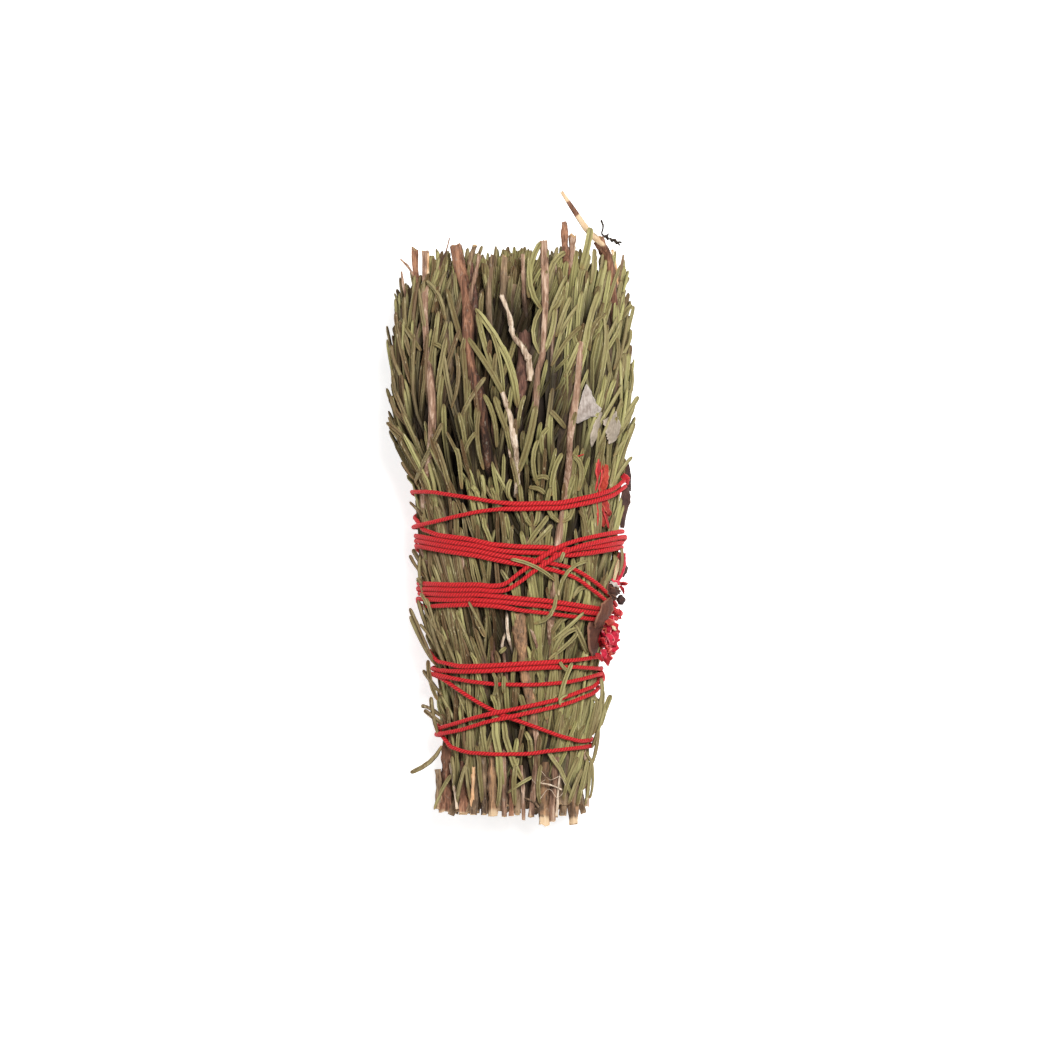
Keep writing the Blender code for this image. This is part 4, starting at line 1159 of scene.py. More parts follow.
def makeInnerSprig(name, node, number, angles, reaches, shoots):
    # shoots inside the bundle, which show only at its two ends
    draw = random.Random(700 + number)
    heap = Heap()
    rows = []
    butt, lower = innerSprig["butt"]
    drift = innerSprig["drift"]
    _, _, thick = formAt(bundle["nearTop"])
    for _ in range(shoots):
        base = draw.uniform(*angles)
        reach = math.sqrt(draw.uniform(reaches[0] ** 2, reaches[1] ** 2))
        depth = float(thick) * (1 - reach)

        def angleAt(y):
            return base + ringWave(y)

        def insetAt(y):
            return depth * formAt(y)[2] / thick

        for root, middle, tip in shootLeaves(draw, angleAt, insetAt, *innerSprig["roots"]):
            low = draw.uniform(-drift, drift)
            rows.append((root, (middle[0], root[1] + low * 0.5, middle[2]),
                         (tip[0], root[1] + low, tip[2])))
        ys = np.linspace(butt - draw.uniform(0.0, lower), draw.uniform(*innerSprig["tip"]),
                         innerSprig["stations"])
        twigAlong(heap, draw, onBundle(angleAt(ys), insetAt(ys), ys),
                  draw.uniform(*innerSprig["radius"]), draw.random())
    leavesAlong(heap, draw, rows, False)
    heap.piece(name, ["leaf", "twig"], [node])


for number in range(bundle["innerSprigs"]):
    middle = 2 * math.pi * (number + 0.5) / bundle["innerSprigs"]
    makeInnerSprig(f"innerSprig{number + 1}", f"sprig_inner_{number + 1}", number,
                   (middle - innerSprig["halfAngle"], middle + innerSprig["halfAngle"]),
                   innerSprig["reaches"], innerSprig["shoots"])
makeInnerSprig("centreSprig", "sprig_centre", bundle["innerSprigs"], (0.0, 2 * math.pi),
               innerSprig["centreReaches"], innerSprig["centreShoots"])
print("inner sprigs")


# Leaves that the photograph shows: root, middle and tip in pixels, tint, and width if unusual
shownLeaves = {
    "frontLeaves": (
        ((504, 398), (492, 374), (468, 339), .5), ((518, 409), (507, 360), (476, 311), .75, 1.7),
        ((517, 407), (512, 374), (500, 346), .8, 1.75), ((502, 394), (487, 352), (478, 315), .6),
        ((504, 397), (500, 362), (492, 335), .7), ((461, 421), (471, 400), (486, 379), .35),
        ((514, 448), (502, 419), (495, 398), .5), ((518, 430), (520, 413), (525, 397), .5),
        ((518, 473), (529, 441), (536, 407), .6, 1.7), ((540, 357), (533, 333), (542, 310), .6),
        ((542, 357), (551, 336), (555, 311), .6), ((541, 311), (530, 288), (531, 256), .65),
        ((549, 314), (557, 307), (565, 288), .6), ((580, 373), (587, 330), (599, 293), .75, 1.7),
        ((559, 339), (569, 319), (580, 304), .6), ((556, 339), (562, 319), (570, 299), .6),
        ((551, 368), (565, 344), (581, 328), .5), ((564, 379), (572, 360), (578, 344), .7),
        ((589, 352), (592, 330), (605, 315), .35), ((592, 437), (613, 401), (621, 387), .6),
        ((597, 449), (605, 430), (614, 408), .55), ((565, 429), (557, 419), (550, 412), .5),
        ((578, 491), (581, 468), (572, 456), .6), ((551, 496), (553, 473), (562, 454), .6),
        ((533, 480), (543, 477), (548, 480), .6), ((529, 488), (538, 489), (545, 494), .6),
        ((538, 486), (533, 462), (538, 441), .65), ((546, 462), (541, 441), (549, 429), .65),
        ((446, 352), (439, 347), (433, 345), .4), ((433, 314), (441, 287), (447, 274), .3),
        ((465, 457), (468, 445), (477, 433), .45), ((473, 502), (476, 494), (472, 486), .8),
        ((483, 499), (484, 486), (482, 475), .8), ((451, 496), (444, 465), (436, 443), .35),
        ((462, 489), (459, 457), (455, 451), .5), ((412, 486), (431, 449), (443, 424), .3),
        ((438, 393), (441, 370), (447, 339), .35), ((452, 409), (459, 382), (457, 355), .25),
        ((511, 480), (508, 489), (509, 499), .7), ((529, 300), (531, 268), (541, 245), .65),
        ((547, 287), (553, 266), (565, 255), .6), ((581, 272), (587, 249), (590, 230), .75, 1.8),
        ((590, 285), (593, 268), (594, 251), .5), ((446, 322), (440, 298), (427, 283), .4),
        ((463, 345), (455, 318), (448, 291), .4), ((428, 340), (423, 315), (420, 290), .3),
        ((600, 370), (605, 345), (603, 318), .55), ((497, 448), (494, 418), (484, 396), .55),
        ((484, 470), (478, 440), (480, 412), .45), ((470, 380), (463, 360), (466, 338), .4),
    ),
    "edgeLeaves": (
        ((412, 386), (401, 346), (396, 313), .2), ((411, 393), (396, 365), (392, 346), .25),
        ((422, 352), (409, 333), (401, 320), .35), ((408, 422), (400, 403), (396, 393), .15),
        ((411, 429), (398, 414), (390, 398), .2), ((416, 473), (403, 445), (390, 427), .3),
        ((416, 481), (408, 472), (402, 462), .2), ((416, 365), (408, 346), (406, 330), .25),
        ((418, 455), (405, 438), (387, 423), .3), ((620, 427), (629, 411), (638, 397), .65),
        ((613, 457), (626, 437), (632, 425), .6), ((613, 486), (621, 470), (632, 457), .6),
        ((621, 320), (626, 312), (632, 306), .5), ((620, 408), (631, 390), (631, 368), .55),
        ((618, 387), (623, 370), (624, 354), .5), ((613, 371), (618, 352), (616, 339), .4),
        ((614, 440), (628, 420), (634, 402), .55), ((618, 360), (628, 345), (630, 330), .5),
        ((432, 659), (420, 632), (410, 608), .2), ((434, 663), (421, 640), (410, 616), .25),
        ((442, 695), (432, 683), (423, 670), .15), ((440, 716), (431, 709), (421, 706), .15),
        ((442, 724), (434, 718), (424, 710), .2), ((601, 726), (605, 711), (611, 695), .6),
        ((423, 565), (418, 558), (413, 549), .1), ((424, 576), (416, 566), (410, 555), .1),
        ((424, 585), (421, 582), (417, 579), .2), ((423, 516), (418, 510), (410, 502), .1),
        ((441.5, 746), (430, 762), (410, 773), .3), ((586, 747), (596, 720), (602, 694), .5),
        ((592, 748), (600, 725), (606, 704), .6),
        ((593, 735), (601, 712), (603, 690), .45), ((584, 752), (592, 724), (597, 700), .6),
        ((592, 765), (597, 745), (598, 728), .4), ((596, 716), (602, 698), (601, 678), .5),
        ((440, 655), (428, 630), (418, 600), .3), ((444, 650), (434, 622), (427, 598), .35),
        ((436, 665), (425, 645), (415, 618), .2), ((446, 668), (436, 640), (430, 615), .3),
        ((437, 700), (430, 680), (428, 660), .25), ((438, 735), (433, 715), (431, 697), .2),
        ((619, 575), (622, 560), (621, 548), .4), ((426, 600), (420, 578), (420, 556), .3),
        ((446, 640), (432, 622), (424, 604), .3),
    ),
    "lowerLeaves": (
        ((559, 522), (550, 509), (550, 488), .65), ((562, 522), (574, 512), (577, 494), .65),
        ((528, 544), (538, 529), (549, 516), .65), ((533, 547), (542, 536), (552, 525), .6),
        ((532, 526), (524, 512), (520, 485), .6), ((534, 526), (539, 515), (540, 499), .6),
        ((491, 544), (487, 533), (482, 517), .85), ((483, 514), (477, 499), (473, 486), .85),
        ((495, 501), (493, 494), (492, 488), .8), ((506, 647), (503, 649), (500, 652), .7),
        ((552, 633), (563, 620), (581, 612), .6), ((554, 652), (562, 636), (577, 628), .65),
        ((549, 659), (570, 641), (576, 633), .6), ((590, 654), (582, 641), (576, 624), .55),
        ((485, 636), (474, 612), (469, 592), .3), ((440, 660), (432, 640), (420, 624), .3),
        ((439, 652), (431, 632), (428, 620), .35), ((547, 719), (550, 706), (563, 694), .65),
        ((570, 729), (576, 711), (585, 694), .6), ((590, 729), (601, 713), (600, 694), .6),
        ((522, 729), (525, 711), (520, 694), .7), ((491, 726), (495, 710), (491, 694), .8),
        ((573, 598), (579, 590), (590, 587), .6), ((503, 787), (497, 752), (493, 708), .85, 1.8),
        ((522, 779), (509, 750), (503, 720), .8, 1.5), ((529, 757), (531, 745), (526, 731), .6),
        ((572, 797), (560, 768), (549, 748), .6), ((434, 810), (441, 792), (451, 775), .5),
        ((508, 792), (520, 783), (532, 776), .6, .9), ((470, 800), (466, 770), (462, 742), .3),
        ((482, 802), (480, 775), (473, 745), .45), ((515, 805), (514, 780), (518, 757), .6),
        ((563, 800), (570, 775), (580, 757), .55), ((583, 790), (590, 770), (592, 752), .5),
        ((577, 806), (583, 782), (588, 759), .55), ((585, 807), (589, 785), (590, 764), .5),
        ((590, 799), (593, 780), (591, 756), .45), ((569, 803), (575, 786), (582, 769), .5),
        ((457, 803), (460, 785), (466, 764), .35), ((497, 806), (500, 786), (499, 765), .5),
        ((540, 803), (538, 785), (541, 764), .5), ((453, 790), (454, 770), (450, 757), .3),
    ),
    "leavesOverThread": (
        ((555, 581), (534, 566), (511, 559), .75, .9), ((557, 562), (560, 557), (562, 552), .8, .9),
        ((557, 595), (567, 571), (586, 561), .7, .9), ((534, 623), (550, 614), (555, 594), .6, .95),
        ((434, 606), (428, 600), (423, 593), .5, .9), ((485, 633), (477, 616), (470, 601), .35, 1),
        ((556, 700), (564, 680), (571, 662), .7, 1.1), ((566, 672), (562, 666), (559, 661), .7, .9),
        ((504, 692), (504, 683), (504, 675), .7, 1), ((557, 704), (560, 698), (566, 694), .6, .9),
        ((552, 640), (566, 628), (582, 612), .7, 1), ((492, 700), (497, 684), (493, 672), .5, .9),
    ),
}


shown = {
    "rootInset": 1.5,
    "middleInset": (-0.3, 0.3),
    "tipInset": (-0.2, 0.5),
    "widest": 0.96,               # of the way to the bundle's side
    "width": (1.0, 1.4),
    "tintJitter": 0.08,
    "search": 4.0,                # how far off the thread counts for a leaf that lies over it
    "overThread": 0.95,
    "overReach": (1.2, 2.6),
}


def clearThread(route, over):
    # moves a leaf's middle line under the thread near it, or over it
    outs, insets = outward(route), insetOf(route)
    moves = np.zeros(len(route))
    low, high = shown["overReach"]
    for k, point in enumerate(route):
        if not over:
            sunk = max(leaf["threadClear"] - insets[k], 0.0)
            moves[k] = -sunk * float(threadNear(threadSpots.find(point)[2]))
            continue
        for spot, _, _ in threadSpots.find_range(point, shown["search"]):
            spot = np.array(spot)
            beside = spot - point
            beside -= outs[k] * (beside @ outs[k])
            lift = insets[k] - float(insetOf(spot)) + shown["overThread"]
            reach = smoothstep((high - np.linalg.norm(beside)) / (high - low))
            moves[k] = max(moves[k], lift * reach)
    if over:
        moves = evened(moves, (0.25, 0.5, 0.25))
    return route + outs * moves[:, None]


def layShownLeaves(name, over=False):
    draw = random.Random(name)
    heap = Heap()
    routes, widths, tints = [], [], []
    for root, middle, tip, tint, *width in shownLeaves[name]:
        insets = (shown["rootInset"], draw.uniform(*shown["middleInset"]),
                  draw.uniform(*shown["tipInset"]))
        first, between, last = (frontPoint(spot, inset, shown["widest"])
                                for spot, inset in zip((root, middle, tip), insets))
        bend = 2 * between - (first + last) / 2
        route = bowed(first, bend, last, leafShape["rings"][:, None])
        routes.append(route if name == "edgeLeaves" else clearThread(route, over))
        widths.append(width[0] if width else draw.uniform(*shown["width"]))
        tints.append(tint + draw.uniform(-shown["tintJitter"], shown["tintJitter"]))
    layLeaves(heap, draw, np.array(routes), np.array(widths), np.array(tints))
    heap.piece(name, ["leaf"], None)


for name in shownLeaves:
    layShownLeaves(name, name == "leavesOverThread")
print("leaves the photograph shows")


# Twigs and cut stems: look, radius at each end, depth of each end, and route in pixels
looseLooks = ["twig", "core", "cinnamon", "dark", "pale", "jointed", "wide", "straw"]
looseTwigs = {
    "topTwigs": (
        ("jointed", .3, .4, .4, .8, ((401, 260), (407, 266), (412, 273), (419, 286))),
        ("jointed", .3, .4, .6, 1.2, ((402, 273), (404, 288), (409, 306))),
        ("cinnamon", .85, .9, .8, 1.4, ((415.5, 255), (416, 273), (419, 300), (421, 330))),
        ("straw", .45, .5, .2, .6, ((424, 253), (425, 276), (427, 300), (428, 322))),
        ("straw", .3, .5, .5, .9, ((429, 256), (428.5, 280), (429, 318))),
        ("jointed", .15, .45, -.2, 1.0, ((450, 241), (447, 253), (441, 267), (432, 296))),
        ("twig", .65, .4, .6, 1.6, ((475, 249), (471, 262), (468, 280))),
        ("jointed", .5, .7, .2, 1.2, ((480, 259), (475, 280), (471, 300), (470, 330))),
        ("jointed", .85, .6, .5, 2.6, ((572, 240), (571, 260), (570, 287))),
        ("pale", .55, .4, .8, 1.0, ((592, 236), (598, 240), (603, 247))),
        ("twig", .3, .7, .4, .9, ((623, 256), (620, 274), (618, 288), (616, 320))),
        ("core", .24, .2, 1.2, 1.5, ((601, 223), (603, 229), (601, 235), (606, 239), (613, 241),
                                     (620, 246))),
        ("core", .38, .3, 1.1, 1.1, ((605.5, 237.5), (607.5, 239.5))),
        ("core", .3, .38, 1.1, 1.1, ((610, 240), (612, 241.5))),
        ("core", .4, .3, 1.1, 1.1, ((614.5, 241), (616.5, 244))),
        ("core", .3, .2, 1.1, 1.1, ((618, 243), (621, 243))),
        ("core", .2, .16, 1.1, 1.3, ((607, 239), (608, 234))),
        ("cinnamon", 1.0, .8, .5, 1.2, ((612, 290), (613, 318), (613, 352))),
        ("cinnamon", 1.35, 1.1, .3, .9, ((600.5, 246), (605, 257), (609, 274))),
        ("straw", .35, .5, -.2, .5, ((612, 252), (616, 274), (616.5, 305))),
        ("twig", .8, 1.0, 1.6, 2.2, ((505, 262), (503, 290), (505, 322))),
        ("jointed", .5, .7, 2.2, 2.6, ((523, 258), (524, 290), (526, 330))),
        ("twig", .6, .9, .8, 1.6, ((493, 258), (489, 290), (490, 330), (487, 372))),
        ("dark", .9, 1.1, 1.4, 1.6, ((471, 268), (477, 320), (481, 372))),
    ),
    "sideTwigs": (
        ("twig", .7, .8, .8, 1.2, ((444, 292), (448, 330), (452, 372), (455, 410))),
        ("cinnamon", .6, .8, 1.0, 1.4, ((495, 380), (494, 420), (497, 462))),
        ("twig", .7, .7, .9, 1.2, ((601, 262), (603, 300), (598, 345), (594, 385))),
        ("jointed", .5, .7, .6, 1.0, ((556, 262), (557, 300), (552, 345), (553, 400))),
        ("dark", .8, .9, 1.2, 1.6, ((489, 402), (487, 440), (489, 480))),
        ("twig", .7, .8, 1.9, 2.0, ((446, 600), (452, 640), (457, 690), (459, 740))),
        ("twig", .7, .8, 1.8, 2.0, ((476, 606), (482, 640), (486, 690), (485, 735))),
        ("jointed", .5, .6, 1.8, 2.0, ((499, 606), (502, 640), (507, 690), (507, 745))),
        ("dark", .6, .8, 2.0, 2.0, ((494, 610), (493, 650), (497, 700))),
        ("twig", .6, .7, 1.8, 1.9, ((548, 640), (546, 680), (547, 730), (546, 770))),
        ("pale", .35, .4, .7, .9, ((507, 603), (507, 618), (508, 632), (513, 657))),
        ("pale", .3, .35, .7, .9, ((507, 628), (503, 640), (502, 655))),
        ("jointed", .35, .4, .6, .9, ((528, 621), (534, 636), (537, 647), (538, 657))),
        ("pale", .25, .3, .3, .5, ((507, 443), (510, 455), (513, 466))),
        ("jointed", .5, .6, 1.7, 1.9, ((465, 528), (463, 560), (462, 596))),
        ("twig", .6, .7, 1.7, 1.9, ((524, 508), (527, 540), (530, 580), (531, 602))),
    ),
    "cutStems": (
        ("cinnamon", 1.5, 1.65, 2.6, 1.9, ((448, 752), (447, 782), (446, 810))),
        ("pale", .3, .35, 1.0, .6, ((450, 764), (454, 786), (457, 808))),
        ("cinnamon", 1.0, 1.2, 2.2, 1.4, ((464, 762), (464, 785), (463.5, 812))),
        ("straw", .6, .7, 1.8, .9, ((474, 768), (473, 790), (473, 813.5))),
        ("twig", .7, .8, 1.4, 1.0, ((484, 757), (484, 785), (484.5, 812))),
        ("wide", 1.2, 1.3, 2.0, 1.5, ((492, 748), (493, 780), (493, 815))),
        ("jointed", .6, .62, 1.2, .8, ((504, 753), (504, 785), (504.5, 815))),
        ("cinnamon", .5, .65, 1.8, 1.0, ((512, 770), (511, 795), (511.5, 815))),
        ("jointed", .45, .5, 1.6, .9, ((521, 765), (523, 790), (523.5, 818.6))),
        ("jointed", .7, .75, 1.7, .8, ((533, 718), (536.6, 742), (536, 769), (533, 792),
                                       (531, 815))),
        ("twig", .2, .25, .4, .4, ((524.6, 797), (532, 800), (538.6, 806))),
        ("wide", 1.3, 1.45, 2.4, 1.5, ((545, 762), (544.5, 790), (544, 822))),
        ("jointed", .85, .95, 1.4, 1.0, ((556, 757), (555, 780), (552, 800), (552.5, 820))),
        ("pale", .3, .35, .8, .5, ((560, 770), (558, 792), (556.5, 815))),
        ("pale", .18, .2, .0, .1, ((538.6, 782), (550, 784), (561.6, 789))),
        ("wide", 1.25, 1.35, 2.4, 1.5, ((573, 762), (573, 790), (573.5, 823))),
        ("jointed", .55, .6, 1.2, .9, ((586, 746), (588, 775), (587, 806.5))),
        ("twig", .8, .9, 3.0, 2.4, ((457, 768), (456, 790), (456, 811))),
        ("twig", .9, 1.0, 3.2, 2.6, ((517, 760), (517, 785), (517, 812))),
        ("twig", .8, .9, 3.4, 2.8, ((566, 766), (564, 790), (563, 815))),
        ("twig", .8, .9, 3.0, 2.6, ((438, 770), (439, 790), (438, 808))),
        ("pale", .07, .07, -.3, .3, ((541, 770), (550, 779), (560, 776), (566, 786))),
        ("pale", .07, .07, .2, -.2, ((540, 798), (549, 788), (557, 797), (563, 792))),
        ("pale", .06, .06, .0, .3, ((530, 776), (537, 783), (545, 779))),
    ),
}


looseTwig = {
    "stations": 9,
    "endsSink": 2.8,              # how far an end that slips in among the leaves goes down
    "endsOver": 0.45,             # share of the length that it goes down over
    "threadClear": 1.05,          # depth of its upper side under the thread
    "torn": (0.2, 2.2, 1.0),      # of its radius: least, and most at either end
    "broken": (0.7, 0.6),         # chance that a cut end shows pale wood further down, how pale
    "tint": (0.3, 0.8),
}


def layTwigs(name):
    draw = random.Random(name)
    heap = Heap()
    count, over = looseTwig["stations"], looseTwig["endsOver"]
    least, mostFirst, mostLast = looseTwig["torn"]
    chance, paler = looseTwig["broken"]
    t = np.linspace(0.0, 1.0, count)
    for look, first, last, sinkFirst, sinkLast, spots in looseTwigs[name]:
        middle = (first + last) / 2
        sinks = np.linspace(sinkFirst, sinkLast, count)
        if name != "cutStems":               # their ends slip in among the leaves
            sinks += looseTwig["endsSink"] * smoothstep((t - 1.0 + over) / over)
        if name == "sideTwigs":
            sinks += looseTwig["endsSink"] * smoothstep((over - t) / over)
        radii = first + (last - first) * twigShape["rings"]
        route = np.array([frontPoint(spot, sink + middle, shown["widest"])
                          for spot, sink in zip(curveThrough(spots, count), sinks)])
        insets, outs = insetOf(route), outward(route)
        for k in range(count):
            sunk = max(0.0, looseTwig["threadClear"] + middle - insets[k])
            route[k] -= outs[k] * sunk * float(threadNear(threadSpots.find(route[k])[2]))
        tears = (draw.uniform(least, mostFirst) * first, draw.uniform(least, mostLast) * last)
        pale = (paler * (draw.random() < chance), 0.9) if look in ("wide", "straw") else (0.0, 0.5)
        worn = ((0, 0.8, 0.92, 1), (0, 0, *pale))
        twigAlong(heap, draw, route, radii, draw.uniform(*looseTwig["tint"]),
                  looseLooks.index(look), worn=worn if name == "cutStems" else 0.0, ragged=tears)
    heap.piece(name, looseLooks, None)


for name in looseTwigs:
    layTwigs(name)
print("twigs and cut stems")


# Bare stems: route in pixels, radius at each end, depth of each end below the usual
bareStems = {
    "stem_red_brown": {
        "route": ((457, 250), (461, 272), (466, 295), (471, 365), (481, 398), (486, 440),
                  (491, 476)), "radii": (1.3, 1.3), "sinks": (-0.3, 1.2), "look": "cinnamon",
        "tint": ((0, 0.3, 0.55, 1), (0.8, 0.5, 0.2, 0)), "ragged": (0.9, 0.3)},
    "stem_split_left": {
        "route": ((426, 254), (426, 314), (428, 352), (433, 395), (432, 440), (426, 483),
                  (425, 512), (427, 532)), "radii": (0.8, 1.0), "sinks": (0.0, 0.0),
        "look": "jointed"},
    "stem_pink_fork": {
        "route": ((543, 245), (545, 300), (543, 352), (538, 372), (534, 415), (524, 452)),
        "radii": (0.85, 0.75), "sinks": (-0.4, 1.4), "look": "jointed"},
    "stem_dark_red": {
        "route": ((524, 338), (522, 372), (520, 400), (517.5, 438)), "radii": (1.8, 1.0),
        "sinks": (1.3, 2.2), "look": "dark", "ragged": (1.2, 0.0)},
    "stem_pale_gnarled": {
        "route": ((502, 299), (509, 318), (513, 338), (521, 346), (527, 358), (530, 372),
                  (529.5, 382)), "radii": (0.4, 0.85), "sinks": (-0.2, -0.2), "look": "pale",
        "gnarled": 0.3, "tint": 0.22},
    "stem_pale_twig": {
        "route": ((503, 395), (508, 411), (513.5, 433), (516, 457), (517, 480), (517.5, 495)),
        "radii": (0.6, 0.85), "sinks": (-0.1, 0.2), "look": "pale", "gnarled": 0.18},
    "stem_jointed": {
        "route": ((580, 345), (576, 393), (570, 433), (569, 464), (564, 500), (561, 519),
                  (557, 545), (555, 579), (551, 612), (550, 645)), "radii": (0.85, 0.85),
        "sinks": (-0.2, 0.0), "look": "jointed"},
    "stem_thick_low": {
        "route": ((518, 612), (521, 640), (526, 677), (531, 700), (533, 732)),
        "radii": (1.7, 1.4), "sinks": (0.0, 0.0), "look": "wide"},
    "stem_left_low": {
        "route": ((424, 548), (428, 560), (430, 580)), "radii": (1.05, 0.9),
        "sinks": (-0.3, 0.4), "look": "jointed"},
    "stem_broken_top": {
        "route": ((564, 226), (565, 254), (566, 284)), "radii": (0.8, 1.0),
        "sinks": (2.4, 3.6), "look": "cinnamon"},
    "stem_stripped": {
        "route": ((563, 197), (573, 212), (587, 232), (598, 243), (606, 252), (611, 280),
                  (613, 312)), "radii": (0.45, 1.3), "sinks": (4.0, 0.6), "look": "cinnamon",
        "worn": ((0, 0.04, 0.08, 0.16, 0.2, 0.44, 0.5), (1, 1, 0, 0, 1, 1, 0)),
        "ragged": (1.2, 0.0)},
}


bareStem = {
    "stations": 14,
    "knots": 29,                  # places where it thickens or thins
    "clear": 0.1,
    "tied": 1.2,                  # how much deeper where thread goes round
    "buried": 1.2,                # how much deeper its last station lies
    # for stems that don't say otherwise
    "gnarled": 0.08,
    "tint": 0.55,
    "worn": 0.0,
    "ragged": (0.5, 0.3),
}


def makeBareStem(name, values):
    draw = random.Random(name)
    values = {**bareStem, **values}
    first, last = values["radii"]
    sinkFirst, sinkLast = values["sinks"]
    count = bareStem["stations"]
    buried = bareStem["buried"] * (name != "stem_pale_gnarled")
    route = []
    for k, spot in enumerate(curveThrough(values["route"], count)):
        t = k / (count - 1)
        _, y = fromPhoto(spot)
        sink = sinkFirst * max(0.0, 1 - 2 * t) + sinkLast * max(0.0, 2 * t - 1)
        sink += bareStem["tied"] * float(wound(y)) + buried * max(0.0, 12 * t - 11)
        route.append(frontPoint(spot, first + bareStem["clear"] + sink))
    route = np.array(route)
    gnarled = values["gnarled"]
    ends = np.sin(math.pi * np.arange(count) / (count - 1))
    for axis in (0, 2):
        route[:, axis] += gnarled * ends * np.array([draw.uniform(-1, 1) for _ in route])
    rings = stemShape["rings"]
    knots = np.array([draw.uniform(-1, 1) for _ in range(bareStem["knots"])])
    swell = np.interp(rings, np.linspace(0, 1, len(knots)), knots)
    radii = (first + (last - first) * rings) * (1 + gnarled * swell)
    heap = Heap()
    twigAlong(heap, draw, route, radii, values["tint"], 0, stemShape, values["worn"],
              values["ragged"])
    heap.piece(name.title().replace("_", "").replace("Stem", "stem"), [values["look"]],
               [name])


for name, values in bareStems.items():
    makeBareStem(name, values)
for name in ("stem_under_1", "stem_under_2"):
    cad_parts[name].data.materials.clear()
    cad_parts[name].data.materials.append(finishes["under"])
print("bare stems")


# Flower and papery leaves

ballShape = ballMaster(3)
sheetShape = sheetMaster(6, 14)

